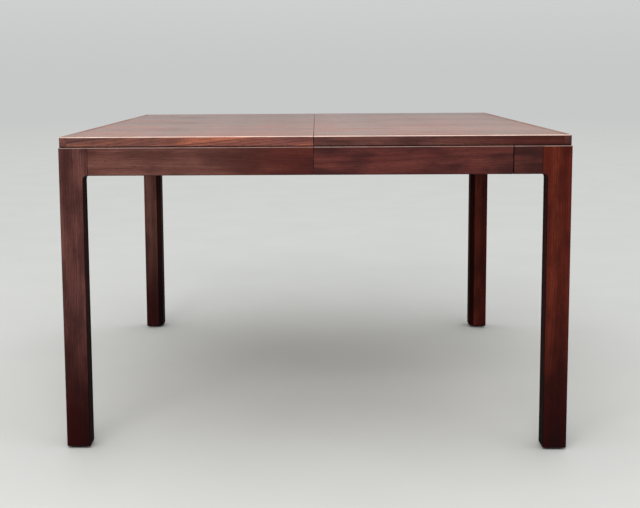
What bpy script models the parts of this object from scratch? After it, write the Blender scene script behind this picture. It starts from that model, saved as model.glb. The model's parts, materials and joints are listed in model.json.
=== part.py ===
"""Extending dining table: two lipped top halves on four square legs, opened on wooden slides.

Metres, +Z up. X is the way the table opens, the front faces -Y, and the origin lies on the floor
under the centre of the closed table.
"""

import math

import bmesh
import bpy
from mathutils import Matrix, Vector

# Overall size over the legs, and the height of the top's surface
TABLE_LENGTH = 1.200
TABLE_WIDTH = 1.200
TABLE_HEIGHT = 0.755

# Gap left where one piece seats on another, and the play of a turning or sliding piece
FIT_GAP = 0.0003
SLIDE_PLAY = 0.0005

# Top halves: panel with solid lippings, set in a little from the frame's faces
TOP_THICKNESS = 0.0255
TOP_INSET = 0.002
LIPPING_WIDTH = 0.018
SEAM_GAP = 0.0004
TOP_CORNER_RADIUS = 0.005
TOP_UPPER_ARRIS = 0.0034
TOP_LOWER_ARRIS = 0.0022
SEAM_ARRIS = 0.0009

# Aprons
APRON_HEIGHT = 0.066
APRON_THICKNESS = 0.022
APRON_UPPER_ARRIS = 0.0026
APRON_LOWER_ARRIS = 0.0018
JOINT_ARRIS = 0.0005
BLOCK_LENGTH = 0.066
BLOCK_JOINT_GAP = 0.0018

# Legs: square shaft, flared head, chamfered inner corner
LEG_WIDTH = 0.057
LEG_HEAD_FLARE = 0.012
LEG_INNER_CHAMFER = 0.014
LEG_CORNER_RADIUS = 0.005
LEG_ARRIS = 0.0022
LEG_FOOT_ARRIS = 0.004
FILLET_STEPS = 8

# Glides nailed under the legs
GLIDE_RADIUS = 0.0125
GLIDE_HEIGHT = 0.004
GLIDE_EDGE = 0.001
NAIL_RADIUS = 0.002
NAIL_LENGTH = 0.016

# Corner blocks with their hanger bolts and nuts
CORNER_BLOCK_THICKNESS = 0.025
CORNER_BLOCK_SETBACK = 0.008
CORNER_DRAW_GAP = 0.004
BOLT_RADIUS = 0.004
BOLT_DEPTH_IN_LEG = 0.038
BOLT_PAST_NUT = 0.007
NUT_ACROSS_CORNERS = 0.015
NUT_THICKNESS = 0.0065

# Fixing battens between aprons and panels
BATTEN_SIZE = 0.018
BATTEN_END_MARGIN = 0.020

# Wooden slides: one member under each half and a runner between them
LEAF_LENGTH = 0.450
SLIDE_FROM_EDGE = 0.310
SLIDE_WIDTH = 0.024
SLIDE_HEIGHT = 0.042
RUNNER_DROP = 0.0013
SLIDE_FIXED_MARGIN = 0.030
SLIDE_FREE_MARGIN = 0.150
RUNNER_MARGIN = 0.090
GROOVE_STOP = 0.025
TONGUE_DEPTH = 0.007
TONGUE_ROOT = 0.010
TONGUE_FACE = 0.014
TONGUE_SETBACK = 0.004
TIE_WIDTH = 0.055
TIE_THICKNESS = 0.015
TIE_FROM_END = 0.020
HIDDEN_ARRIS = 0.001

# Alignment pins at the seam
PIN_RADIUS = 0.004
PIN_DEPTH = 0.020
PIN_REACH = 0.012
PIN_TIP = 0.003
SOCKET_SPARE = 0.003
PIN_SPACING = 0.380

# Table locks under the seam
LOCK_FROM_EDGE = 0.180
LOCK_SETBACK = 0.055
KEEPER_SETBACK = 0.030
LOCK_PLATE_SIZE = 0.036
LOCK_PLATE_THICKNESS = 0.003
LEVER_WIDTH = 0.018
LEVER_THICKNESS = 0.004
LEVER_TIP = 0.030
RIVET_RADIUS = 0.004
RIVET_HEAD_RADIUS = 0.007
RIVET_HEAD_THICKNESS = 0.0025
STUD_RADIUS = 0.003
STUD_PLAY = 0.0008
STUD_PAST_LEVER = 0.0015

# Facets of round pieces and of eased edges
ROUND_SIDES = 20
ARRIS_STEPS = 3
CUT_MARGIN = 0.005
SMOOTH_ANGLE = math.radians(32)

# Levels and planes that follow from the sizes above
TOP_UNDERSIDE = TABLE_HEIGHT - TOP_THICKNESS
FRAME_TOP = TOP_UNDERSIDE - FIT_GAP
APRON_BOTTOM = FRAME_TOP - APRON_HEIGHT
APRON_MIDDLE = FRAME_TOP - APRON_HEIGHT / 2
LEG_FOOT = GLIDE_HEIGHT + FIT_GAP
LEG_HEAD = LEG_WIDTH + LEG_HEAD_FLARE
HALF_LENGTH = TABLE_LENGTH / 2
HALF_WIDTH = TABLE_WIDTH / 2
APRON_INSIDE_X = HALF_LENGTH - APRON_THICKNESS
APRON_INSIDE_Y = HALF_WIDTH - APRON_THICKNESS

# Distances along a corner's diagonal, from the table's outer corner inward
CHAMFER_ON_DIAGONAL = (2 * LEG_WIDTH - LEG_INNER_CHAMFER) / math.sqrt(2)
BLOCK_ON_DIAGONAL = CHAMFER_ON_DIAGONAL + CORNER_DRAW_GAP
NUT_ON_DIAGONAL = BLOCK_ON_DIAGONAL + CORNER_BLOCK_THICKNESS + FIT_GAP

# Finishes: base colour, roughness and metallic value
FINISHES = {
    "rosewood": ((0.105, 0.035, 0.026, 1.0), 0.34, 0.0),
    "rosewood_top": ((0.150, 0.058, 0.038, 1.0), 0.30, 0.0),
    "beech": ((0.520, 0.350, 0.200, 1.0), 0.55, 0.0),
    "steel": ((0.560, 0.560, 0.570, 1.0), 0.32, 1.0),
    "blackened_steel": ((0.055, 0.052, 0.050, 1.0), 0.42, 0.9),
}

PARTS = "extending_dining_table"
CUTTERS = "cutters"


# Scene helpers


def start_scene():
    """Empty the scene and make the two collections."""
    for item in list(bpy.data.objects):
        bpy.data.objects.remove(item, do_unlink=True)
    for name in (PARTS, CUTTERS):
        collection = bpy.data.collections.get(name) or bpy.data.collections.new(name)
        if collection.name not in bpy.context.scene.collection.children:
            bpy.context.scene.collection.children.link(collection)


def finish_material(name, finish):
    """Return a Principled material of the given finish for one piece."""
    colour, roughness, metallic = FINISHES[finish]
    material = bpy.data.materials.new(name)
    material.use_nodes = True
    shader = material.node_tree.nodes["Principled BSDF"]
    shader.inputs["Base Color"].default_value = colour
    shader.inputs["Roughness"].default_value = roughness
    shader.inputs["Metallic"].default_value = metallic
    material.diffuse_color = colour
    return material


def body_empty(name):
    """Return the empty that carries the pieces of one moving body."""
    empty = bpy.data.objects.new(name, None)
    bpy.data.collections[PARTS].objects.link(empty)
    return empty


def add_part(name, mesh, finish, body, matrix=None):
    """Place a mesh as a named piece of a body."""
    part = bpy.data.objects.new(name, mesh)
    bpy.data.collections[PARTS].objects.link(part)
    part.parent = body
    part.matrix_basis = matrix or Matrix.Identity(4)
    if not mesh.materials:
        mesh.materials.append(finish_material(name, finish))
    mesh.shade_smooth()
    mesh.set_sharp_from_angle(angle=SMOOTH_ANGLE)
    return part


def evaluated_mesh(item):
    """Return the mesh of an object as its modifiers leave it."""
    bpy.context.view_layer.update()
    depsgraph = bpy.context.evaluated_depsgraph_get()
    return bpy.data.meshes.new_from_object(item.evaluated_get(depsgraph))


def boolean(part, cutter_mesh, operation, matrix=None):
    """Cut or join a mesh with another, kept as a hidden wire cutter under the same parent."""
    cutter = bpy.data.objects.new(part.name + "_cutter", cutter_mesh)
    bpy.data.collections[CUTTERS].objects.link(cutter)
    cutter.parent = part.parent
    cutter.matrix_basis = part.matrix_basis @ (matrix or Matrix.Identity(4))
    cutter.hide_render = True
    cutter.display_type = "WIRE"
    modifier = part.modifiers.new(operation.lower(), "BOOLEAN")
    modifier.object = cutter
    modifier.operation = operation
    modifier.solver = "EXACT"


def shaped_mesh(mesh, steps):
    """Return a mesh after a chain of booleans and edge easings, for a piece that has copies.

    Each step is either (operation, cutter mesh, matrix) or ("EASE", radius function, None).
    """
    for operation, value, matrix in steps:
        item = bpy.data.objects.new("shaping", mesh)
        bpy.data.collections[PARTS].objects.link(item)
        if operation == "EASE":
            ease(item, value)
        else:
            boolean(item, value, operation, matrix)
        mesh = evaluated_mesh(item)
        bpy.data.objects.remove(item, do_unlink=True)
    for cutter in list(bpy.data.collections[CUTTERS].objects):
        if cutter.name.startswith("shaping"):
            bpy.data.objects.remove(cutter, do_unlink=True)
    return mesh


# Shape helpers


def box_mesh(low, high):
    """Return a box between two corners, given in any order."""
    low, high = Vector(low), Vector(high)
    size = high - low
    scale = Matrix.Diagonal((abs(size.x), abs(size.y), abs(size.z), 1.0))
    shape = bmesh.new()
    bmesh.ops.create_cube(shape, size=1.0, matrix=Matrix.Translation((low + high) / 2) @ scale)
    return to_mesh(shape)


def rod_mesh(radius, length, sides=ROUND_SIDES):
    """Return a rod that stands on the origin along +Z."""
    shape = bmesh.new()
    bmesh.ops.create_cone(
        shape, cap_ends=True, segments=sides, radius1=radius, radius2=radius, depth=length,
        matrix=Matrix.Translation((0, 0, length / 2)))
    return to_mesh(shape)


def to_mesh(shape):
    """Turn a bmesh into a mesh and free it."""
    mesh = bpy.data.meshes.new("shape")
    shape.to_mesh(mesh)
    shape.free()
    return mesh


def plate_mesh(outline, low, high):
    """Return a flat outline in X and Y, filled from one level to another."""
    curve = bpy.data.curves.new("outline", "CURVE")
    curve.dimensions = "2D"
    curve.fill_mode = "BOTH"
    curve.extrude = (high - low) / 2
    spline = curve.splines.new("POLY")
    spline.points.add(len(outline) - 1)
    for point, (x, y) in zip(spline.points, outline):
        point.co = (x, y, 0.0, 1.0)
    spline.use_cyclic_u = True
    item = bpy.data.objects.new("outline", curve)
    bpy.data.collections[PARTS].objects.link(item)
    mesh = evaluated_mesh(item)
    bpy.data.objects.remove(item, do_unlink=True)
    shape = bmesh.new()
    shape.from_mesh(mesh)
    bmesh.ops.remove_doubles(shape, verts=shape.verts, dist=1e-6)
    bmesh.ops.dissolve_limit(shape, angle_limit=1e-3, verts=shape.verts, edges=shape.edges)
    bmesh.ops.recalc_face_normals(shape, faces=shape.faces)
    bmesh.ops.translate(shape, verts=shape.verts, vec=(0, 0, (low + high) / 2))
    return to_mesh(shape)


def turned_mesh(profile):
    """Return a piece turned about Z from (radius, height) points that run from top to bottom."""
    mesh = bpy.data.meshes.new("profile")
    points = [(radius, 0.0, height) for radius, height in profile]
    edges = [(index, index + 1) for index in range(len(points) - 1)]
    mesh.from_pydata(points, edges, [])
    item = bpy.data.objects.new("profile", mesh)
    bpy.data.collections[PARTS].objects.link(item)
    screw = item.modifiers.new("turn", "SCREW")
    screw.axis = "Z"
    screw.steps = ROUND_SIDES
    screw.render_steps = ROUND_SIDES
    screw.use_merge_vertices = True
    screw.merge_threshold = 0.00005
    turned = evaluated_mesh(item)
    bpy.data.objects.remove(item, do_unlink=True)
    return turned


def arc(centre, radius, start, end, steps):
    """Return points along an arc, with its angles in degrees."""
    angles = [math.radians(start + (end - start) * step / steps) for step in range(steps + 1)]
    return [(centre[0] + radius * math.cos(a), centre[1] + radius * math.sin(a)) for a in angles]


def ease(part, radius_of):
    """Round chosen edges of a piece; radius_of gives an edge's radius from its two ends, or 0."""
    mesh = part.data
    radii = []
    for edge in mesh.edges:
        first, second = (mesh.vertices[index].co for index in edge.vertices)
        radii.append(radius_of(first, second))
    widest = max(radii)
    weights = mesh.attributes.new("bevel_weight_edge", "FLOAT", "EDGE")
    weights.data.foreach_set("value", [radius / widest for radius in radii])
    bevel = part.modifiers.new("eased edges", "BEVEL")
    bevel.limit_method = "WEIGHT"
    bevel.width = widest
    bevel.segments = ARRIS_STEPS
    bevel.use_clamp_overlap = True


def same(value, target):
    """Tell whether two coordinates are equal within a hundredth of a millimetre."""
    return abs(value - target) < 1e-5


def box_arrises(low, high, radii):
    """Return a radius function for a box, from names such as "-Y+Z" for its edges."""
    low, high = Vector(low), Vector(high)
    lows = Vector(map(min, low, high))
    highs = Vector(map(max, low, high))
    faces = {}
    for index, letter in enumerate("XYZ"):
        faces["-" + letter] = (index, lows[index])
        faces["+" + letter] = (index, highs[index])

    def radius_of(first, second):
        for edge_name, radius in radii.items():
            pair = [faces[edge_name[:2]], faces[edge_name[2:]]]
            if all(same(end[index], level) for end in (first, second) for index, level in pair):
                return radius
        return 0.0

    return radius_of


def all_edges(radius):
    """Return a radius function that eases every edge alike."""
    return lambda first, second: radius


def add_box(name, low, high, finish, body, arrises=None):
    """Add a box piece, with named edges eased, or every edge by a little."""
    part = add_part(name, box_mesh(low, high), finish, body)
    ease(part, box_arrises(low, high, arrises) if arrises else all_edges(HIDDEN_ARRIS))
    return part


# Top


def build_top(side, name, body):
    """Build one half of the top: side is -1 for the left half and 1 for the right."""
    end = side * (HALF_LENGTH - TOP_INSET)
    lipping = end - side * LIPPING_WIDTH
    panel_end = lipping - side * FIT_GAP
    seam = side * SEAM_GAP / 2
    front = -(HALF_WIDTH - TOP_INSET)
    inner = front + LIPPING_WIDTH
    outward, seamward = ("-X", "+X") if side < 0 else ("+X", "-X")

    low = (end, front, TOP_UNDERSIDE)
    high = (lipping, -front, TABLE_HEIGHT)
    end_arrises = {
        outward + "-Y": TOP_CORNER_RADIUS, outward + "+Y": TOP_CORNER_RADIUS,
        outward + "+Z": TOP_UPPER_ARRIS, outward + "-Z": TOP_LOWER_ARRIS,
        "-Y+Z": TOP_UPPER_ARRIS, "+Y+Z": TOP_UPPER_ARRIS,
        "-Y-Z": TOP_LOWER_ARRIS, "+Y-Z": TOP_LOWER_ARRIS,
    }
    add_box(name + "_end_lipping", low, high, "rosewood", body, end_arrises)

    for label, facing, outer in (("front", "-Y", front), ("rear", "+Y", -front)):
        inside = inner if facing == "-Y" else -inner
        low = (panel_end, outer, TOP_UNDERSIDE)
        high = (seam, inside, TABLE_HEIGHT)
        arrises = {
            facing + "+Z": TOP_UPPER_ARRIS, facing + "-Z": TOP_LOWER_ARRIS,
            seamward + facing: SEAM_ARRIS, seamward + "+Z": SEAM_ARRIS,
        }
        add_box(f"{name}_{label}_lipping", low, high, "rosewood", body, arrises)

    low = (panel_end, inner + FIT_GAP, TOP_UNDERSIDE)
    high = (seam, -inner - FIT_GAP, TABLE_HEIGHT)
    panel = add_box(name + "_top_panel", low, high, "rosewood_top", body, {seamward + "+Z": SEAM_ARRIS})

    depth = PIN_DEPTH if side < 0 else PIN_REACH + SOCKET_SPARE
    hole = PIN_RADIUS + FIT_GAP
    for y in pin_places().values():
        start = seam - side * CUT_MARGIN
        bore = Matrix.Translation((start, y, pin_level())) @ along_x(side)
        boolean(panel, rod_mesh(hole, depth + CUT_MARGIN), "DIFFERENCE", bore)


def pin_places():
    """Return the alignment pins' places along the seam."""
    return {"front": -PIN_SPACING, "centre": 0.0, "rear": PIN_SPACING}


def pin_level():
    """Return the height of the pins, at the middle of the top's thickness."""
    return TABLE_HEIGHT - TOP_THICKNESS / 2


def along_x(direction):
    """Return the turn that lays +Z along +X, or along -X for a negative direction."""
    return Matrix.Rotation(math.copysign(math.pi / 2, direction), 4, "Y")


def build_pins(body):
    """Build the alignment pins, glued into the left half and reaching into the right."""
    root = PIN_DEPTH - FIT_GAP
    profile = [
        (0.0, PIN_REACH), (PIN_RADIUS - PIN_TIP, PIN_REACH), (PIN_RADIUS, PIN_REACH - PIN_TIP),
        (PIN_RADIUS, -root), (0.0, -root),
    ]
    for label, y in pin_places().items():
        place = Matrix.Translation((-SEAM_GAP / 2, y, pin_level())) @ along_x(1)
        add_part(f"alignment_pin_{label}", turned_mesh(profile), "beech", body, place)


# Frame


def build_aprons(side, name, body):
    """Build the aprons of one half, flush with the faces of the legs."""
    outward, seamward = ("-X", "+X") if side < 0 else ("+X", "-X")
    seam = side * SEAM_GAP / 2
    leg = side * (HALF_LENGTH - LEG_HEAD - FIT_GAP)
    low = (side * HALF_LENGTH, -(HALF_WIDTH - LEG_HEAD - FIT_GAP), APRON_BOTTOM)
    high = (side * APRON_INSIDE_X, HALF_WIDTH - LEG_HEAD - FIT_GAP, FRAME_TOP)
    arrises = {
        outward + "+Z": APRON_UPPER_ARRIS, outward + "-Z": APRON_LOWER_ARRIS,
        outward + "-Y": JOINT_ARRIS, outward + "+Y": JOINT_ARRIS,
    }
    add_box(name + "_end_apron", low, high, "rosewood", body, arrises)

    for label, facing, front in (("front", "-Y", -1), ("rear", "+Y", 1)):
        face = front * HALF_WIDTH
        inside = front * APRON_INSIDE_Y
        end = leg
        if side > 0 and label == "front":
            block = leg - BLOCK_LENGTH
            end = block - BLOCK_JOINT_GAP
            add_apron("right_front_apron_block", (leg, block), face, inside, facing, body)
        add_apron(f"{name}_{label}_apron", (end, seam), face, inside, facing, body)


def add_apron(name, ends, face, inside, facing, body):
    """Add an apron board between two ends along X."""
    low = (ends[0], face, APRON_BOTTOM)
    high = (ends[1], inside, FRAME_TOP)
    arrises = {
        facing + "+Z": APRON_UPPER_ARRIS, facing + "-Z": APRON_LOWER_ARRIS,
        "-X" + facing: JOINT_ARRIS, "+X" + facing: JOINT_ARRIS,
    }
    add_box(name, low, high, "rosewood", body, arrises)


def build_battens(side, name, body):
    """Build the fixing battens in the corners between the long aprons and the panel."""
    block_end = (BLOCK_ON_DIAGONAL + CORNER_BLOCK_THICKNESS) * math.sqrt(2) - APRON_THICKNESS
    end = side * (HALF_LENGTH - block_end - BATTEN_END_MARGIN)
    seam = side * BATTEN_END_MARGIN
    for label, front in (("front", -1), ("rear", 1)):
        outside = front * (APRON_INSIDE_Y - FIT_GAP)
        inside = outside - front * BATTEN_SIZE
        low = (end, outside, FRAME_TOP)
        high = (seam, inside, FRAME_TOP - BATTEN_SIZE)
        add_box(f"{name}_{label}_batten", low, high, "beech", body)


# Corners: legs, glides, corner blocks, hanger bolts and nuts


def corner_frames(left_body, right_body):
    """Return each corner's name, body and frame, whose X and Y run inward from the outer corner."""
    places = (
        ("front_left", left_body, -HALF_LENGTH, -HALF_WIDTH),
        ("front_right", right_body, HALF_LENGTH, -HALF_WIDTH),
        ("rear_right", right_body, HALF_LENGTH, HALF_WIDTH),
        ("rear_left", left_body, -HALF_LENGTH, HALF_WIDTH),
    )
    for turn, (name, body, x, y) in enumerate(places):
        frame = Matrix.Translation((x, y, 0)) @ Matrix.Rotation(turn * math.pi / 2, 4, "Z")
        yield name, body, frame


def on_diagonal(distance, level):
    """Return the frame of a bolt's axis: +Z along the corner's diagonal, inward."""
    offset = distance / math.sqrt(2)
    turn = Matrix.Rotation(math.pi / 4, 4, "Z") @ along_x(1)
    return Matrix.Translation((offset, offset, level)) @ turn


def leg_profile(foot, head_top):
    """Return a leg's outline from one side: distance inward, and height."""
    fillet = arc((LEG_HEAD, APRON_BOTTOM - LEG_HEAD_FLARE), LEG_HEAD_FLARE, 180, 90, FILLET_STEPS)
    return [(0.0, foot), (LEG_WIDTH, foot), *fillet, (LEG_HEAD, head_top), (0.0, head_top)]


def leg_radius(first, second):
    """Return the radius that a leg's edge is eased to."""
    on_front = same(first.y, 0) and same(second.y, 0)
    on_end = same(first.x, 0) and same(second.x, 0)
    if on_front and on_end:
        return LEG_CORNER_RADIUS
    if same(first.z, LEG_FOOT) and same(second.z, LEG_FOOT):
        return LEG_FOOT_ARRIS
    if same(first.z, FRAME_TOP) and same(second.z, FRAME_TOP):
        return APRON_UPPER_ARRIS if on_front or on_end else 0.0
    along_head = same(first.x, LEG_HEAD) and same(second.x, LEG_HEAD)
    across_head = same(first.y, LEG_HEAD) and same(second.y, LEG_HEAD)
    if on_front and along_head or on_end and across_head:
        return JOINT_ARRIS
    if on_front or on_end:
        return LEG_ARRIS
    return 0.0


def leg_mesh():
    """Return a leg in its corner's frame: both side outlines at once, chamfered, eased and bored."""
    span = (-LEG_HEAD - CUT_MARGIN, CUT_MARGIN)
    upright = Matrix.Rotation(math.pi / 2, 4, "X")
    front = plate_mesh(leg_profile(LEG_FOOT, FRAME_TOP), *span)
    front.transform(upright)
    side = plate_mesh(leg_profile(LEG_FOOT - CUT_MARGIN, FRAME_TOP + CUT_MARGIN), *span)
    across = Matrix.Translation((LEG_HEAD, 0, 0)) @ Matrix.Rotation(math.pi / 2, 4, "Z")
    side.transform(across @ upright)

    reach = LEG_HEAD * 2
    chamfer = box_mesh((0, -reach, -CUT_MARGIN), (reach, reach, FRAME_TOP + CUT_MARGIN))
    turned = Matrix.Rotation(math.pi / 4, 4, "Z") @ Matrix.Translation((CHAMFER_ON_DIAGONAL, 0, 0))

    bolt_bore = rod_mesh(BOLT_RADIUS + FIT_GAP, BOLT_DEPTH_IN_LEG + FIT_GAP + CUT_MARGIN)
    bolt_place = on_diagonal(CHAMFER_ON_DIAGONAL - BOLT_DEPTH_IN_LEG - FIT_GAP, APRON_MIDDLE)
    nail_bore = rod_mesh(NAIL_RADIUS + FIT_GAP, NAIL_LENGTH + FIT_GAP + CUT_MARGIN)
    nail_place = Matrix.Translation((LEG_WIDTH / 2, LEG_WIDTH / 2, LEG_FOOT - CUT_MARGIN))
    return shaped_mesh(front, [
        ("INTERSECT", side, None),
        ("DIFFERENCE", chamfer, turned),
        ("EASE", leg_radius, None),
        ("DIFFERENCE", bolt_bore, bolt_place),
        ("DIFFERENCE", nail_bore, nail_place),
    ])


def corner_block_mesh():
    """Return a corner block: a bar across the corner, cut to the aprons and bored for the bolt."""
    near = BLOCK_ON_DIAGONAL * math.sqrt(2)
    far = (BLOCK_ON_DIAGONAL + CORNER_BLOCK_THICKNESS) * math.sqrt(2)
    side = APRON_THICKNESS + FIT_GAP
    outline = [(near - side, side), (far - side, side), (side, far - side), (side, near - side)]
    block = plate_mesh(outline, APRON_BOTTOM + CORNER_BLOCK_SETBACK, FRAME_TOP - CORNER_BLOCK_SETBACK)
    bore = rod_mesh(BOLT_RADIUS + FIT_GAP, CORNER_BLOCK_THICKNESS + 2 * CUT_MARGIN)
    place = on_diagonal(BLOCK_ON_DIAGONAL - CUT_MARGIN, APRON_MIDDLE)
    return shaped_mesh(block, [("DIFFERENCE", bore, place)])


def nut_mesh():
    """Return a hexagon nut along +Z, bored for the bolt."""
    nut = rod_mesh(NUT_ACROSS_CORNERS / 2, NUT_THICKNESS, 6)
    bore = rod_mesh(BOLT_RADIUS + FIT_GAP, NUT_THICKNESS + 2 * CUT_MARGIN)
    return shaped_mesh(nut, [("DIFFERENCE", bore, Matrix.Translation((0, 0, -CUT_MARGIN)))])


def build_corners(left_body, right_body):
    """Build the four corners, each a turned copy of the same pieces."""
    leg = leg_mesh()
    block = corner_block_mesh()
    nut = nut_mesh()
    bolt_start = CHAMFER_ON_DIAGONAL - BOLT_DEPTH_IN_LEG
    bolt = rod_mesh(BOLT_RADIUS, NUT_ON_DIAGONAL + NUT_THICKNESS + BOLT_PAST_NUT - bolt_start)
    glide = turned_mesh([
        (0.0, LEG_FOOT + NAIL_LENGTH), (NAIL_RADIUS, LEG_FOOT + NAIL_LENGTH),
        (NAIL_RADIUS, GLIDE_HEIGHT), (GLIDE_RADIUS, GLIDE_HEIGHT),
        (GLIDE_RADIUS, GLIDE_EDGE), (GLIDE_RADIUS - GLIDE_EDGE, 0.0), (0.0, 0.0),
    ])
    under_leg = Matrix.Translation((LEG_WIDTH / 2, LEG_WIDTH / 2, 0))
    for name, body, frame in corner_frames(left_body, right_body):
        add_part("leg_" + name, leg.copy(), "rosewood", body, frame)
        add_part("corner_block_" + name, block.copy(), "beech", body, frame)
        add_part("hanger_bolt_" + name, bolt.copy(), "steel", body,
                 frame @ on_diagonal(bolt_start, APRON_MIDDLE))
        add_part("hanger_nut_" + name, nut.copy(), "steel", body,
                 frame @ on_diagonal(NUT_ON_DIAGONAL, APRON_MIDDLE))
        add_part("glide_" + name, glide.copy(), "steel", body, frame @ under_leg)


# Slides


def runner_half_length():
    """Return half the length of a middle runner."""
    return APRON_INSIDE_X - RUNNER_MARGIN


def groove_end():
    """Return how far past the seam a member's groove runs, up to its stop."""
    return APRON_INSIDE_X - SLIDE_FREE_MARGIN - GROOVE_STOP


def dovetail_mesh(start, end, play):
    """Return a dovetail bar along X whose root lies on Y = 0 and whose face points to +Y."""
    root = TONGUE_ROOT / 2 + play
    face = TONGUE_FACE / 2 + play
    overlap = TONGUE_DEPTH / 2
    depth = TONGUE_DEPTH + play
    outline = [(-overlap, -root), (0.0, -root), (depth, -face), (depth, face), (0.0, root), (-overlap, root)]
    bar = plate_mesh(outline, start, end)
    turn = Matrix(((0, 0, 1, 0), (1, 0, 0, 0), (0, 1, 0, 0), (0, 0, 0, 1)))
    bar.transform(turn)
    return bar


def build_slide(label, front, left_body, middle_body, right_body):
    """Build one slide of three members: front is -1 for the front slide and 1 for the rear one.

    The left half's member lies outermost, the middle runner next, the right half's member innermost.
    A tongue's inner end lies one leaf short of the stop in its groove, with the table closed.
    """
    runner_y = front * (HALF_WIDTH - SLIDE_FROM_EDGE)
    pitch = SLIDE_WIDTH + SLIDE_PLAY
    runner_top = TOP_UNDERSIDE - RUNNER_DROP
    middle = runner_top - SLIDE_HEIGHT / 2
    half = SLIDE_WIDTH / 2
    long_end = APRON_INSIDE_X - SLIDE_FIXED_MARGIN
    short_end = APRON_INSIDE_X - SLIDE_FREE_MARGIN
    tongue_outer = runner_half_length() - TONGUE_SETBACK
    tongue_inner = LEAF_LENGTH - groove_end() + SLIDE_PLAY

    low = (-runner_half_length(), runner_y - half, runner_top - SLIDE_HEIGHT)
    high = (runner_half_length(), runner_y + half, runner_top)
    runner = add_box(f"slide_runner_{label}", low, high, "beech", middle_body)

    members = (("left", -1, left_body, front), ("right", 1, right_body, -front))
    for name, side, body, away in members:
        y = runner_y + away * pitch
        low = (side * long_end, y - half, FRAME_TOP - SLIDE_HEIGHT)
        high = (-side * short_end, y + half, FRAME_TOP)
        member = add_box(f"slide_{name}_{label}", low, high, "beech", body)

        # Mirrored pieces are turned about Z so that the dovetail faces away from the runner
        facing = Matrix.Rotation(0.0 if away > 0 else math.pi, 4, "Z")
        flank = Matrix.Translation((0, runner_y + away * half, middle)) @ facing
        reach = sorted((away * side * tongue_outer, away * side * tongue_inner))
        boolean(runner, dovetail_mesh(*reach, 0.0), "UNION", flank)
        groove = sorted((away * side * (long_end + CUT_MARGIN), -away * side * groove_end()))
        boolean(member, dovetail_mesh(*groove, SLIDE_PLAY), "DIFFERENCE", flank)


def build_ties(middle_body):
    """Build the two cross ties that hold the middle runners together."""
    reach = HALF_WIDTH - SLIDE_FROM_EDGE + SLIDE_WIDTH / 2
    top = TOP_UNDERSIDE - RUNNER_DROP - SLIDE_HEIGHT - FIT_GAP
    for name, side in (("left", -1), ("right", 1)):
        end = side * (runner_half_length() - TIE_FROM_END)
        low = (end, -reach, top - TIE_THICKNESS)
        high = (end - side * TIE_WIDTH, reach, top)
        add_box("slide_tie_" + name, low, high, "beech", middle_body)


# Table locks


def lever_mesh():
    """Return a lock lever about its pivot, pointing to +X, with its notch open to +Y."""
    radius = LEVER_WIDTH / 2
    length = LOCK_SETBACK + KEEPER_SETBACK
    tip = length + LEVER_TIP - radius
    outline = arc((tip, 0), radius, -90, 90, 8) + arc((0, 0), radius, 90, 270, 8)
    lever = plate_mesh(outline, -LEVER_THICKNESS / 2, LEVER_THICKNESS / 2)
    rivet_bore = rod_mesh(RIVET_RADIUS + FIT_GAP, LEVER_THICKNESS + 2 * CUT_MARGIN)
    through = Matrix.Translation((0, 0, -LEVER_THICKNESS / 2 - CUT_MARGIN))
    half_notch = STUD_RADIUS + STUD_PLAY
    mouth = arc((length, 0), half_notch, 180, 360, 8)
    mouth += [(length + half_notch, radius + CUT_MARGIN), (length - half_notch, radius + CUT_MARGIN)]
    notch = plate_mesh(mouth, -LEVER_THICKNESS, LEVER_THICKNESS)
    return shaped_mesh(lever, [("DIFFERENCE", rivet_bore, through), ("DIFFERENCE", notch, None)])


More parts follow.
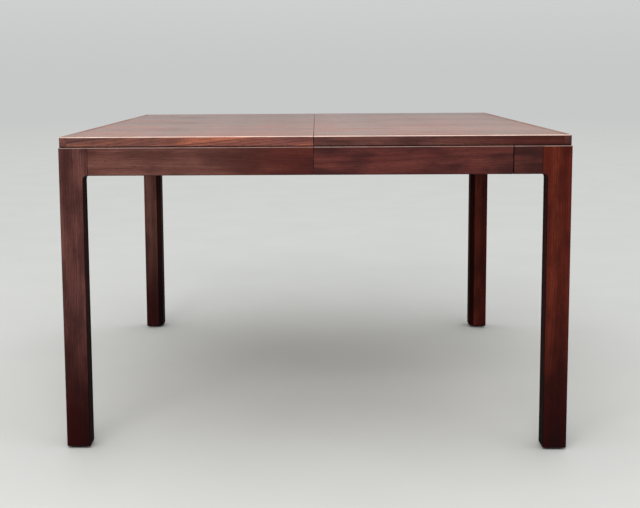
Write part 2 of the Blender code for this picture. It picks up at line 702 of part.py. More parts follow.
def build_lock(label, front, left_body, right_body):
    """Build one lock: front is -1 for the front lock and 1 for the rear one, released at rest."""
    y = front * (HALF_WIDTH - LOCK_FROM_EDGE)
    half = LOCK_PLATE_SIZE / 2
    plate_bottom = FRAME_TOP - LOCK_PLATE_THICKNESS
    lever_middle = plate_bottom - FIT_GAP - LEVER_THICKNESS / 2
    lever_bottom = lever_middle - LEVER_THICKNESS / 2
    pivot = Matrix.Translation((-LOCK_SETBACK, y, 0))

    low = (-LOCK_SETBACK - half, y - half, plate_bottom)
    high = (-LOCK_SETBACK + half, y + half, FRAME_TOP)
    plate = add_part(f"lock_plate_{label}", box_mesh(low, high), "blackened_steel", left_body)
    bore = rod_mesh(RIVET_RADIUS + FIT_GAP, LOCK_PLATE_THICKNESS + 2 * CUT_MARGIN)
    boolean(plate, bore, "DIFFERENCE", Matrix.Translation((-LOCK_SETBACK, y, plate_bottom - CUT_MARGIN)))

    head_top = lever_bottom - FIT_GAP
    rivet = turned_mesh([
        (0.0, FRAME_TOP), (RIVET_RADIUS, FRAME_TOP), (RIVET_RADIUS, head_top),
        (RIVET_HEAD_RADIUS, head_top), (RIVET_HEAD_RADIUS, head_top - RIVET_HEAD_THICKNESS / 2),
        (RIVET_HEAD_RADIUS / 2, head_top - RIVET_HEAD_THICKNESS), (0.0, head_top - RIVET_HEAD_THICKNESS),
    ])
    add_part(f"lock_rivet_{label}", rivet, "steel", left_body, pivot)

    # The lever rests along the seam, its tip towards the edge; the rear one is turned over
    released = Matrix.Translation((-LOCK_SETBACK, y, lever_middle))
    released @= Matrix.Rotation(front * math.pi / 2, 4, "Z")
    if front > 0:
        released @= Matrix.Rotation(math.pi, 4, "X")
    add_part(f"lock_lever_{label}", lever_mesh(), "blackened_steel", left_body, released)

    low = (KEEPER_SETBACK - half, y - half, plate_bottom)
    high = (KEEPER_SETBACK + half, y + half, FRAME_TOP)
    keeper = add_part(f"lock_keeper_{label}", box_mesh(low, high), "blackened_steel", right_body)
    stud_length = LOCK_PLATE_THICKNESS / 2 + FIT_GAP + LEVER_THICKNESS + STUD_PAST_LEVER
    stud = Matrix.Translation((KEEPER_SETBACK, y, plate_bottom + LOCK_PLATE_THICKNESS / 2 - stud_length))
    boolean(keeper, rod_mesh(STUD_RADIUS, stud_length), "UNION", stud)


def main():
    """Build the table, closed, with its locks released."""
    start_scene()
    left = body_empty("left_half_body")
    middle = body_empty("slide_middle_body")
    right = body_empty("right_half_body")
    for side, name, body in ((-1, "left", left), (1, "right", right)):
        build_top(side, name, body)
        build_aprons(side, name, body)
        build_battens(side, name, body)
    build_pins(left)
    build_corners(left, right)
    for label, front in (("front", -1), ("rear", 1)):
        build_slide(label, front, left, middle, right)
        build_lock(label, front, left, right)
    build_ties(middle)


main()
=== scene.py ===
"""Looks of the extending dining table: rosewood, beech and steel finishes, fixings, studio, camera.

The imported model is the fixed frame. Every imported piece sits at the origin, so a piece's object
coordinates are the frame's coordinates: X along the opening, the front at -Y, Z up, in metres.
"""

import json
import logging
import math
from dataclasses import dataclass
from enum import Enum
from functools import cached_property

import bmesh
import bpy
from mathutils import Matrix, Vector

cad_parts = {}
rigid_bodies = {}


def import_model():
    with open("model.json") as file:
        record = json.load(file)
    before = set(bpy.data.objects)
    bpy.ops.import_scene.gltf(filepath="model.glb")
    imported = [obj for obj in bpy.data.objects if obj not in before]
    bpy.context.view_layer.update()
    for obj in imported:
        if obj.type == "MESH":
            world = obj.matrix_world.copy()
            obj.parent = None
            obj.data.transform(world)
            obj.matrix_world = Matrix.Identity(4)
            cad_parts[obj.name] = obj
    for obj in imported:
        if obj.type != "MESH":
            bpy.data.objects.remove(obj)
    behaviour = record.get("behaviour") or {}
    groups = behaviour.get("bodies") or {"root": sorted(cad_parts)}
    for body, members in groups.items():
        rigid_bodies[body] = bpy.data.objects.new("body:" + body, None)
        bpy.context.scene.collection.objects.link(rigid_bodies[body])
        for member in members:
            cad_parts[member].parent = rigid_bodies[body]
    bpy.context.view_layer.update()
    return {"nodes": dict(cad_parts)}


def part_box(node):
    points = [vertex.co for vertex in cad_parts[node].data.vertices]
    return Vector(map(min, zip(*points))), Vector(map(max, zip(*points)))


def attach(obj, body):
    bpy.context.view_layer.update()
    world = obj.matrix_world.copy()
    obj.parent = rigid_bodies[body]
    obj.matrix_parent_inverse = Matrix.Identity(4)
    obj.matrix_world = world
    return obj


LOG = logging.getLogger("extending_dining_table")
IMAGE_WIDTH = 640
IMAGE_HEIGHT = 508

Colour = tuple[float, float, float]
Triple = tuple[float, float, float]
Pair = tuple[float, float]
Names = tuple[str, ...]
Material = bpy.types.Material
NodeTree = bpy.types.NodeTree
Object = bpy.types.Object
Shape = bmesh.types.BMesh
Socket = bpy.types.NodeSocket
Sockets = bpy.types.bpy_prop_collection


class Grain(Enum):
    """Direction of a board's grain, as the order in which X, Y and Z become along, across, across."""

    ALONG_X = "XYZ"
    ALONG_Y = "YZX"
    ALONG_Z = "ZXY"


class Way(Enum):
    """Directions in the frame."""

    RIGHT = (1.0, 0.0, 0.0)
    LEFT = (-1.0, 0.0, 0.0)
    FRONT = (0.0, -1.0, 0.0)
    REAR = (0.0, 1.0, 0.0)
    DOWN = (0.0, 0.0, -1.0)


class Slot(Enum):
    """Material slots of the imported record."""

    ROSEWOOD = "rosewood"
    TOP = "rosewood_top"
    BEECH = "beech"
    STEEL = "steel"
    BLACKENED = "blackened_steel"


class Body(Enum):
    """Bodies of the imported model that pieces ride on."""

    LEFT = "left_half"
    RIGHT = "right_half"
    MIDDLE = "slide_middle"


HALVES = {"left": Body.LEFT, "right": Body.RIGHT}
PLACES = ("front", "rear")
CORNERS = ("front_left", "front_right", "rear_left", "rear_right")


# Node trees


class Tree:
    """Adds nodes to a node tree and links them."""

    def __init__(self, tree: NodeTree) -> None:
        """Keep the tree that nodes are added to."""
        self.tree = tree

    def feed(self, socket: Socket, value: object) -> None:
        """Link an input to another socket, or set its own value.

        Args:
            socket: The input that is fed.
            value: An output socket, a number, a vector or a colour.
        """
        if isinstance(value, Socket):
            self.tree.links.new(value, socket)
        elif socket.type == "RGBA":
            socket.default_value = (*value, 1.0)
        else:
            socket.default_value = value

    def node(
            self, kind: str, sockets: dict[str | int, object] | None = None, **settings: object
    ) -> bpy.types.Node:
        """Add a node.

        Args:
            kind: The node's type name.
            sockets: Values or links for its inputs, by name or index.
            **settings: Properties of the node.

        Returns:
            The new node.
        """
        made = self.tree.nodes.new(kind)
        for name, value in settings.items():
            setattr(made, name, value)
        for name, value in (sockets or {}).items():
            self.feed(made.inputs[name], value)
        return made

    def group(self, group: NodeTree, **inputs: object) -> Sockets:
        """Place a node group, its inputs named in small letters, and return its outputs."""
        sockets = {name.replace("_", " ").title(): value for name, value in inputs.items()}
        return self.node("ShaderNodeGroup", sockets, node_tree=group).outputs

    def math(self, operation: str, *values: object) -> Socket:
        """Return what a Math node makes of its values."""
        return self.node("ShaderNodeMath", dict(enumerate(values)), operation=operation).outputs[0]

    def vector(self, operation: str, *vectors: object, output: str = "Vector") -> Socket:
        """Return what a Vector Math node makes of its vectors."""
        made = self.node("ShaderNodeVectorMath", dict(enumerate(vectors)), operation=operation)
        return made.outputs[output]

    def scaled(self, vector: Socket, factor: Socket) -> Socket:
        """Return a vector times a number."""
        made = self.node("ShaderNodeVectorMath", {0: vector, "Scale": factor}, operation="SCALE")
        return made.outputs["Vector"]

    def split(self, vector: Socket) -> list[Socket]:
        """Return the three parts of a vector."""
        return list(self.node("ShaderNodeSeparateXYZ", {0: vector}).outputs)

    def join(self, *parts: Socket) -> Socket:
        """Return the vector of three values."""
        return self.node("ShaderNodeCombineXYZ", dict(enumerate(parts))).outputs[0]

    def noise(self, vector: Socket, cells: Triple, detail: float, output: str = "Fac") -> Socket:
        """Return noise with its own number of cells a metre along X, Y and Z."""
        sockets = {"Vector": self.vector("MULTIPLY", vector, cells), "Scale": 1.0, "Detail": detail}
        return self.node("ShaderNodeTexNoise", sockets).outputs[output]

    def random(self, value: Socket) -> Socket:
        """Return a random number from 0 to 1 for each whole number."""
        return self.node("ShaderNodeTexWhiteNoise", {"W": value}, noise_dimensions="1D").outputs["Value"]

    def between(self, value: Socket, low: object, high: object) -> Socket:
        """Return how far a value has come from low to high, eased, from 0 to 1."""
        sockets = {"Value": value, "From Min": low, "From Max": high}
        return self.node("ShaderNodeMapRange", sockets, interpolation_type="SMOOTHSTEP").outputs["Result"]

    def swing(self, value: Socket, noise: Socket, span: float) -> Socket:
        """Return a value that a noise shifts up and down within a span."""
        return self.math("MULTIPLY_ADD", self.math("SUBTRACT", noise, 0.5), span, value)

    def blend(self, factor: Socket, first: object, second: object, kind: str = "MIX") -> Socket:
        """Return two colours mixed by a factor."""
        # A Mix node has sockets for every type: inputs 6 and 7 take colours, and output 2 gives one
        sockets = {0: factor, 6: first, 7: second}
        return self.node("ShaderNodeMix", sockets, data_type="RGBA", blend_type=kind).outputs[2]


class Effect(Tree):
    """A shader node group with named sockets."""

    KINDS = {"VECTOR": "NodeSocketVector", "VALUE": "NodeSocketFloat", "RGBA": "NodeSocketColor"}

    def __init__(
            self, name: str, vectors: Names = ("Vector",), values: Names = (), colours: Names = ()) -> None:
        """Make the group and its inputs, which are given in the order of the arguments.

        Args:
            name: The group's name.
            vectors: Names of its vector inputs.
            values: Names of its number inputs.
            colours: Names of its colour inputs.
        """
        super().__init__(bpy.data.node_groups.new(name, "ShaderNodeTree"))
        for kind, sockets in {"VECTOR": vectors, "VALUE": values, "RGBA": colours}.items():
            for socket in sockets:
                self.tree.interface.new_socket(socket, in_out="INPUT", socket_type=self.KINDS[kind])
        # The last socket of the node is the blank one for adding inputs by hand
        self.given = list(self.node("NodeGroupInput").outputs)[:-1]

    def put(self, **results: Socket) -> NodeTree:
        """Add an output for each result, named as its keyword with a capital.

        Args:
            **results: What the outputs put out.

        Returns:
            The finished group.
        """
        for name, socket in results.items():
            kind = self.KINDS[socket.type]
            self.tree.interface.new_socket(name.title(), in_out="OUTPUT", socket_type=kind)
        self.node("NodeGroupOutput", dict(enumerate(results.values())))
        return self.tree


class Effects:
    """The shared effects, each a node group that is built when it is first used."""

    RING_SHARPNESS = 2.4
    FAINTEST_RING = 0.25
    BANDS_PER_RING = 0.23
    FIBRE_DARKNESS = 0.30
    PORE_DARKNESS = 0.55
    FIBRE_HEIGHT = 0.35
    LEAF_SHIFT = 0.013
    LEAF_JOINT = (0.0006, 0.0002)
    LEAN = (0.2, 0.7)
    TURNED_AWAY = (-0.3, -0.6)
    TURNED_UP = (0.6, 0.95)
    PATCHY_RUBBED_HIGHLIGHT = 0.3
    PORE_ROUGHNESS = 0.12
    UNEVEN_REACH = 0.06
    GRIME_AND_SHADOW_CORE = 0.35

    # Levels of noise between which a mask grows from nothing to full
    PORES = (0.60, 0.68)
    LIGHT_BANDS = (0.38, 0.66)
    DARK_PATCHES = (0.60, 0.34)
    DARK_FIBRE = (0.66, 0.36)
    RUBBED_HIGHLIGHT_SPOTS = (0.30, 0.62)
    BLEACHED_PATCHES = (0.36, 0.66)
    TARNISHED_PATCHES = (0.35, 0.70)

    @cached_property
    def figure(self) -> NodeTree:
        """Growth rings, broad bands, patches, fibre and pores of wood with its grain along X."""
        tree = Effect("wood_figure", ("Vector", "Pith", "Tilt"), ("Ring Spacing", "Wander"))
        place, pith, tilt, spacing, wander = tree.given
        drift = tree.scaled(tilt, tree.split(place)[0])
        slow = tree.noise(place, cells=(2.2, 7.0, 7.0), detail=2.0, output="Color")
        stray = tree.scaled(tree.vector("SUBTRACT", slow, (0.5, 0.5, 0.5)), wander)
        offset = tree.vector("ADD", tree.vector("SUBTRACT", place, pith), drift)
        across = tree.vector("MULTIPLY", tree.vector("ADD", offset, stray), (0.0, 1.0, 1.0))
        rings = tree.math("DIVIDE", tree.vector("LENGTH", across, output="Value"), spacing)
        phase = tree.math("ADD", rings, tree.noise(place, cells=(9.0, 120.0, 120.0), detail=2.0))
        late = tree.math("POWER", tree.math("FRACT", phase), self.RING_SHARPNESS)
        ring = tree.random(tree.math("FLOOR", phase))
        strength = tree.math("MULTIPLY_ADD", ring, 1.0 - self.FAINTEST_RING, self.FAINTEST_RING)
        band = {"W": tree.math("MULTIPLY", phase, self.BANDS_PER_RING), "Scale": 1.0, "Detail": 2.0}
        return tree.put(
            rings=tree.math("MULTIPLY", late, strength),
            bands=tree.node("ShaderNodeTexNoise", band, noise_dimensions="1D").outputs["Fac"],
            patches=tree.noise(place, cells=(9.0, 26.0, 26.0), detail=4.0),
            fibre=tree.noise(place, cells=(14.0, 900.0, 900.0), detail=2.0),
            pores=tree.between(tree.noise(place, cells=(80.0, 1500.0, 1500.0), detail=1.0), *self.PORES))

    @cached_property
    def board(self) -> NodeTree:
        """Colour and height of a board, and its open pores, from its figure."""
        tree = Effect(
            "wood_board", ("Vector", "Pith", "Tilt"), ("Ring Spacing", "Wander", "Ring Contrast", "Mottle"),
            ("Dark", "Mid", "Light"))
        place, pith, tilt, spacing, wander, contrast, mottle, dark, mid, light = tree.given
        figure = tree.group(
            self.figure, vector=place, pith=pith, tilt=tilt, ring_spacing=spacing, wander=wander)
        colour = tree.blend(tree.between(figure["Bands"], *self.LIGHT_BANDS), mid, light)
        darkening = (
            (tree.between(figure["Patches"], *self.DARK_PATCHES), mottle), (figure["Rings"], contrast),
            (tree.between(figure["Fibre"], *self.DARK_FIBRE), self.FIBRE_DARKNESS),
            (figure["Pores"], self.PORE_DARKNESS))
        for mask, amount in darkening:
            colour = tree.blend(tree.math("MULTIPLY", mask, amount), colour, dark)
        raised = tree.math("MULTIPLY", figure["Fibre"], self.FIBRE_HEIGHT)
        height = tree.math("SUBTRACT", raised, figure["Pores"])
        return tree.put(color=colour, height=height, open=figure["Pores"])

    @cached_property
    def leaves(self) -> NodeTree:
        """Veneer leaves laid side by side across the grain, every other one turned over."""
        tree = Effect("veneer_leaves", values=("Leaf Width",))
        place, width = tree.given
        along, across, depth = tree.split(place)
        turned = tree.math("PINGPONG", across, width)
        pair = tree.math("FLOOR", tree.math("DIVIDE", across, tree.math("MULTIPLY", width, 2.0)))
        moved = tree.math("MULTIPLY_ADD", pair, self.LEAF_SHIFT, along)
        nearest = tree.math("MINIMUM", turned, tree.math("SUBTRACT", width, turned))
        seam = tree.between(nearest, *self.LEAF_JOINT)
        tone = tree.random(tree.math("FLOOR", tree.math("DIVIDE", across, width)))
        return tree.put(vector=tree.join(moved, turned, depth), seam=seam, tone=tone)

    @cached_property
    def arris(self) -> NodeTree:
        """Arrises paled by wear and painted highlight above and painted shade below, by how they lean."""
        tree = Effect("rubbed_arris", values=("Amount", "Front Amount"))
        place, amount, front = tree.given
        _, back, up = tree.split(tree.node("ShaderNodeNewGeometry").outputs["Normal"])
        level = tree.math("SQRT", tree.math("SUBTRACT", 1.0, tree.math("MULTIPLY", up, up)))
        lean = tree.math("MULTIPLY", tree.math("MULTIPLY", up, level), 2.0)
        patchy = tree.between(tree.noise(place, cells=(18.0, 18.0, 18.0), detail=4.0), *self.RUBBED_HIGHLIGHT_SPOTS)
        patchy = tree.math("MULTIPLY_ADD", patchy, self.PATCHY_RUBBED_HIGHLIGHT, 1.0 - self.PATCHY_RUBBED_HIGHLIGHT)
        rubbed = tree.math("MULTIPLY", tree.between(lean, *self.LEAN), patchy)
        # Arrises that face the front get more: painted highlight on the lit side
        more = tree.math("SUBTRACT", front, amount)
        amount = tree.math("MULTIPLY_ADD", tree.between(back, *self.TURNED_AWAY), more, amount)
        # Painted shade: arrises that lean downwards are darkened
        grimy = tree.between(lean, *(-edge for edge in self.LEAN))
        return tree.put(rubbed=tree.math("MULTIPLY", rubbed, amount), grimy=grimy)

    @cached_property
    def varnish(self) -> NodeTree:
        """Uneven gloss of old satin varnish: cloudy wear, fine rubbing and open pores."""
        tree = Effect("satin_varnish", values=("Roughness", "Open"))
        place, rough, pores = tree.given
        rough = tree.swing(rough, tree.noise(place, cells=(6.0, 6.0, 6.0), detail=4.0), span=0.30)
        rough = tree.swing(rough, tree.noise(place, cells=(40.0, 420.0, 420.0), detail=2.0), span=0.10)
        return tree.put(roughness=tree.math("MULTIPLY_ADD", pores, self.PORE_ROUGHNESS, rough))

    @cached_property
    def reach(self) -> NodeTree:
        """A mask that grows along one direction from a start to an end, uneven at its border."""
        tree = Effect("reach", ("Vector", "Direction"), ("Start", "End"))
        place, way, start, end = tree.given
        distance = tree.vector("DOT_PRODUCT", place, way, output="Value")
        uneven = tree.noise(place, cells=(20.0, 20.0, 20.0), detail=3.0)
        return tree.put(mask=tree.between(tree.swing(distance, uneven, self.UNEVEN_REACH), start, end))

    @cached_property
    def bleach(self) -> NodeTree:
        """Broad cloudy patches in which daylight has bleached a top."""
        tree = Effect("bleached_patches")
        broad = tree.noise(tree.given[0], cells=(4.2, 5.0, 4.0), detail=4.0)
        return tree.put(mask=tree.between(broad, *self.BLEACHED_PATCHES))

    @cached_property
    def facing(self) -> NodeTree:
        """Masks of what faces up, and of what faces the seam from either half."""
        tree = Effect("facing")
        normal = tree.node("ShaderNodeNewGeometry").outputs["True Normal"]
        outward = tree.split(tree.vector("MULTIPLY", tree.vector("SIGN", tree.given[0]), normal))[0]
        up = tree.between(tree.split(normal)[2], *self.TURNED_UP)
        return tree.put(up=up, inward=tree.between(outward, *self.TURNED_AWAY))

    @cached_property
    def grime_and_shade(self) -> NodeTree:
        """A dark line along an edge: dirt in a joint, and painted shadow under the lippings."""
        tree = Effect("joint_grime_and_shadow", values=("From Edge", "Width"))
        place, distance, width = tree.given
        uneven = tree.noise(place, cells=(160.0, 160.0, 160.0), detail=2.0)
        width = tree.math("MULTIPLY", width, tree.math("ADD", uneven, 0.5))
        core = tree.math("MULTIPLY", width, self.GRIME_AND_SHADOW_CORE)
        return tree.put(mask=tree.between(distance, width, core))

    @cached_property
    def tarnish(self) -> NodeTree:
        """Cloudy tarnish and fine drawn lines on metal."""
        tree = Effect("metal_tarnish", values=("Scale",))
        place, scale = tree.given
        sockets = {"Vector": place, "Scale": scale, "Detail": 5.0, "Roughness": 0.6}
        cloud = tree.node("ShaderNodeTexNoise", sockets).outputs["Fac"]
        lines = tree.noise(place, cells=(2600.0, 2600.0, 90.0), detail=1.0)
        return tree.put(cloud=tree.between(cloud, *self.TARNISHED_PATCHES), lines=lines)


# Finishes


@dataclass(frozen=True)
class WoodFinish:
    """Colours, figure and gloss of one kind of wood.

    Attributes:
        slot: Material slot of the record; not used.
        dark: Colour of late wood, pores and dark streaks.
        mid: Ground colour.
        light: Colour of the light bands.
        worn_highlight: Colour of upper arrises paled by wear and a painted highlight.
        faded_and_sky_lit: Colour of upper faces, partly from daylight bleaching and partly painted sky
            light.
        bleached: Colour of upper faces where they are bleached most.
        fading_and_sky_light: How far upper faces take on that colour.
        roughness: Middle of the varnish's roughness.
        specular: Specular level of the varnish.
        ring_spacing: Distance between growth rings.
        ring_contrast: How dark the rings' lines are.
        mottle: How dark the cloudy patches are.
        wander: How far the rings stray from a round.
        grime_and_shade: How dark joint dirt, painted shade on lower arrises and painted shadow lines are.
        bump: Depth of open pores.
    """

    slot: Slot
    dark: Colour
    mid: Colour
    light: Colour
    # Partly wear, partly a painted highlight on upper arrises
    worn_highlight: Colour = (0.70, 0.52, 0.45)
    faded_and_sky_lit: Colour = (0.215, 0.066, 0.038)
    bleached: Colour = (0.260, 0.150, 0.105)
    fading_and_sky_light: float = 0.70
    roughness: float = 0.42
    specular: float = 0.12
    ring_spacing: float = 0.0055
    ring_contrast: float = 0.80
    mottle: float = 0.60
    wander: float = 0.030
    grime_and_shade: float = 0.88
    bump: float = 0.00025


@dataclass(frozen=True)
class MetalFinish:
    """Colour and polish of one kind of metal.

    Attributes:
        slot: Material slot of the record; not used.
        colour: Colour of the bare metal.
        tarnish: Colour where it has dulled.
        metallic: Metallic value.
        roughness: Roughness where it is clean.
        dulled: Roughness where it has dulled.
        scale: Scale of the tarnish.
    """

    slot: Slot
    colour: Colour
    tarnish: Colour
    metallic: float
    roughness: float
    dulled: float
    scale: float = 90.0


FLAMED = WoodFinish(
    Slot.ROSEWOOD, dark=(0.036, 0.009, 0.008), mid=(0.255, 0.085, 0.062), light=(0.560, 0.168, 0.088),
    ring_contrast=1.0, mottle=0.25, ring_spacing=0.0066)
PURPLE = WoodFinish(
    Slot.ROSEWOOD, dark=(0.022, 0.0055, 0.0050), mid=(0.106, 0.037, 0.031), light=(0.156, 0.059, 0.049),
    specular=0.08)
WARM = WoodFinish(
    Slot.ROSEWOOD, dark=(0.036, 0.008, 0.0065), mid=(0.125, 0.044, 0.034), light=(0.180, 0.072, 0.055),
    ring_contrast=0.50, mottle=0.55)
ROSEWOOD = WoodFinish(
    Slot.ROSEWOOD, dark=(0.020, 0.0040, 0.0045), mid=(0.090, 0.019, 0.0155), light=(0.140, 0.033, 0.025),
    ring_contrast=0.50, mottle=0.72)
REDDISH = WoodFinish(
    Slot.ROSEWOOD, dark=(0.024, 0.0022, 0.0012), mid=(0.098, 0.0125, 0.0060), light=(0.140, 0.022, 0.0105),
    specular=0.08)
VENEER = WoodFinish(
    Slot.TOP, dark=(0.048, 0.013, 0.009), mid=(0.195, 0.056, 0.032), light=(0.420, 0.130, 0.066),
    faded_and_sky_lit=(0.290, 0.072, 0.038), bleached=(0.200, 0.112, 0.082), roughness=0.34, specular=0.5,
    ring_contrast=0.85, mottle=0.50, wander=0.040, fading_and_sky_light=0.30)
BEECH = WoodFinish(
    Slot.BEECH, dark=(0.330, 0.195, 0.100), mid=(0.520, 0.350, 0.200), light=(0.600, 0.425, 0.260),
    worn_highlight=(0.62, 0.46, 0.30), fading_and_sky_light=0.0, roughness=0.58, specular=0.35, ring_spacing=0.004,
    ring_contrast=0.35, mottle=0.15, grime_and_shade=0.3, bump=0.0001)
STEEL = MetalFinish(
    Slot.STEEL, colour=(0.56, 0.56, 0.57), tarnish=(0.30, 0.28, 0.25), metallic=1.0, roughness=0.30,
    dulled=0.52)
BLACKENED = MetalFinish(
    Slot.BLACKENED, colour=(0.055, 0.052, 0.050), tarnish=(0.110, 0.085, 0.065), metallic=0.9,
    roughness=0.40, dulled=0.58)


@dataclass(frozen=True)
class Cut:
    """How one board was cut from its log.

    Attributes:
        grain: Direction of the grain.
        pith: Place of the log's heart from the board's middle, across the grain.
        tilt: Slope of the heart against the board, across the grain.
        seed: Shift along the log, which tells boards apart.
    """

    grain: Grain
    pith: Pair = (0.05, -0.09)
    tilt: Pair = (0.0, 0.03)
    seed: float = 0.0


@dataclass(frozen=True)
class Shade:
    """A change of colour that grows along one direction of the frame.

    Attributes:
        colour: What the wood's colour is multiplied by in the end.
        way: Direction of the growth.
        start: Distance along the direction where it starts.
        end: Distance along the direction where it is full.
    """

    colour: Colour
    way: Way
    start: float
    end: float


@dataclass(frozen=True)
class Board:
    """One board: its wood, how it was cut and what has happened to it.

    Attributes:
        wood: The kind of wood.
        cut: How it was cut.
        shades: Changes of colour along it.
        leaf_width: Width of veneer leaves, or 0 for solid wood.
        seam_grime: Width of the dark line beside the seam, or 0 for none.
        under_painted_shadow: Width of the painted shadow line along its lower edge, or 0 for none.
        rubbed: How pale its upper arrises are, from wear and a painted highlight.
        rubbed_front: How pale those that face the front are.
    """

    wood: WoodFinish
    cut: Cut
    shades: tuple[Shade, ...] = ()
    leaf_width: float = 0.0
    seam_grime: float = 0.0
    under_painted_shadow: float = 0.0
    rubbed: float = 0.32
    rubbed_front: float = 0.32


class Finisher:
    """Makes the materials of the pieces from the shared effects."""

    INNER_ROUGHNESS = 0.95
    # Painted shade on faces that turn inward, towards the seam
    INNER_PAINTED_SHADE = (0.24, 0.16, 0.15)
    GRIME_AND_SHADE_DEPTH = 0.4
    LEAF_SHADE = (0.62, 0.60, 0.62)
    LEAF_JOINT_DARKNESS = 0.6
    PORE_RELIEF = 0.5
    LINE_GLOSS = 0.15
    LINE_RELIEF = 0.15
    LINE_DEPTH = 0.0001

    def __init__(self, effects: Effects) -> None:
        """Keep the shared effects."""
        self.effects = effects

    @staticmethod
    def start(name: str) -> tuple[Material, Tree, Sockets, Socket]:
        """Start a material.

        Args:
            name: The material's name.

        Returns:
            The material, its tree, the inputs of its Principled BSDF and the piece's coordinates.
        """
        material = bpy.data.materials.new(name)
        material.use_nodes = True
        tree = Tree(material.node_tree)
        shader = material.node_tree.nodes["Principled BSDF"].inputs
        return material, tree, shader, tree.node("ShaderNodeTexCoord").outputs["Object"]

    def wood(self, name: str, board: Board, low: Vector, high: Vector) -> Material:
        """Make the material of one board.

        Args:
            name: The material's name.
            board: The board.
            low: The board's lowest corner in the frame.
            high: The board's highest corner in the frame.

        Returns:
            The material.
        """
        material, tree, shader, place = self.start(name)
        wood, cut, effects = board.wood, board.cut, self.effects
        parts = dict(zip("XYZ", tree.split(tree.vector("SUBTRACT", place, tuple((low + high) / 2)))))
        vector = tree.join(*(parts[axis] for axis in cut.grain.value))
        if board.leaf_width:
            leaves = tree.group(effects.leaves, vector=vector, leaf_width=board.leaf_width)
            vector = leaves["Vector"]
        vector = tree.vector("ADD", vector, (cut.seed, 0.0, 0.0))
        figure = tree.group(
            effects.board, vector=vector, pith=(0.0, *cut.pith), tilt=(0.0, *cut.tilt),
            ring_spacing=wood.ring_spacing, wander=wood.wander, ring_contrast=wood.ring_contrast,
            mottle=wood.mottle, dark=wood.dark, mid=wood.mid, light=wood.light)
        facing = tree.group(effects.facing, vector=place)
        # Painted shade: faces that turn inward, towards the seam, are darkened
        colour = tree.blend(facing["Inward"], figure["Color"], self.INNER_PAINTED_SHADE, "MULTIPLY")
        for shade in board.shades:
            reach = tree.group(
                effects.reach, vector=place, direction=shade.way.value, start=shade.start, end=shade.end)
            colour = tree.blend(reach["Mask"], colour, shade.colour, "MULTIPLY")
        if board.leaf_width:
            colour = tree.blend(leaves["Tone"], colour, self.LEAF_SHADE, "MULTIPLY")
            joint = tree.math("MULTIPLY", leaves["Seam"], self.LEAF_JOINT_DARKNESS)
            colour = tree.blend(joint, colour, wood.dark)
        # Upper faces take a paler colour: partly daylight bleaching, partly painted sky light
        if wood.fading_and_sky_light:
            patches = tree.group(effects.bleach, vector=place)["Mask"]
            faded_and_sky_lit = tree.blend(patches, wood.faded_and_sky_lit, wood.bleached)
            colour = tree.blend(tree.math("MULTIPLY", facing["Up"], wood.fading_and_sky_light), colour, faded_and_sky_lit)
        arris = tree.group(effects.arris, vector=place, amount=board.rubbed, front_amount=board.rubbed_front)
        # Painted highlight, partly wear: upper arrises are paled towards a light colour
        colour = tree.blend(arris["Rubbed"], colour, wood.worn_highlight)
        grime_and_shade = self.grime_and_shadow_mask(tree, board, place, arris["Grimy"], low.z)
        # Joint dirt, painted shade on lower arrises and painted shadow lines darken the colour
        deep = tuple(self.GRIME_AND_SHADE_DEPTH * part for part in wood.dark)
        colour = tree.blend(tree.math("MULTIPLY", grime_and_shade, wood.grime_and_shade), colour, deep)
        varnish = tree.group(effects.varnish, vector=vector, roughness=wood.roughness, open=figure["Open"])
        gloss = varnish["Roughness"]
        matt = tree.math("SUBTRACT", self.INNER_ROUGHNESS, gloss)
        relief = {"Height": figure["Height"], "Strength": self.PORE_RELIEF, "Distance": wood.bump}
        tree.feed(shader["Base Color"], colour)
        tree.feed(shader["Roughness"], tree.math("MULTIPLY_ADD", facing["Inward"], matt, gloss))
        tree.feed(shader["Normal"], tree.node("ShaderNodeBump", relief).outputs["Normal"])
        tree.feed(shader["Specular IOR Level"], wood.specular)
        return material

    def grime_and_shadow_mask(self, tree: Tree, board: Board, place: Socket, mask: Socket, bottom: float) -> Socket:
        """Add a board's dark joint lines and the painted shadow line under it to its painted arris shade.

        Args:
            tree: The material's tree.
            board: The board.
            place: The piece's coordinates.
            mask: The painted shade of its lower arrises.
            bottom: Height of the board's lower edge.

        Returns:
            The mask of joint dirt, painted shade and painted shadow.
        """
        along, _, height = tree.split(place)
        seam = ("ABSOLUTE", (along,), board.seam_grime)
        # Painted shadow: a dark line along the board's lower edge
        under = ("SUBTRACT", (height, bottom), board.under_painted_shadow)
        for operation, values, width in (seam, under):
            if width:
                distance = tree.math(operation, *values)
                line = tree.group(self.effects.grime_and_shade, vector=place, from_edge=distance, width=width)
                mask = tree.math("MAXIMUM", mask, line["Mask"])
        return mask

    def metal(self, name: str, metal: MetalFinish) -> Material:
        """Make the material of a metal piece.

        Args:
            name: The material's name.
            metal: The kind of metal.

        Returns:
            The material.
        """
        material, tree, shader, place = self.start(name)
        tarnish = tree.group(self.effects.tarnish, vector=place, scale=metal.scale)
        dulling = metal.dulled - metal.roughness
        roughness = tree.math("MULTIPLY_ADD", tarnish["Cloud"], dulling, metal.roughness)
        relief = {"Height": tarnish["Lines"], "Strength": self.LINE_RELIEF, "Distance": self.LINE_DEPTH}
        tree.feed(shader["Base Color"], tree.blend(tarnish["Cloud"], metal.colour, metal.tarnish))
        tree.feed(shader["Roughness"], tree.swing(roughness, tarnish["Lines"], self.LINE_GLOSS))
        tree.feed(shader["Normal"], tree.node("ShaderNodeBump", relief).outputs["Normal"])
        tree.feed(shader["Metallic"], metal.metallic)
        return material


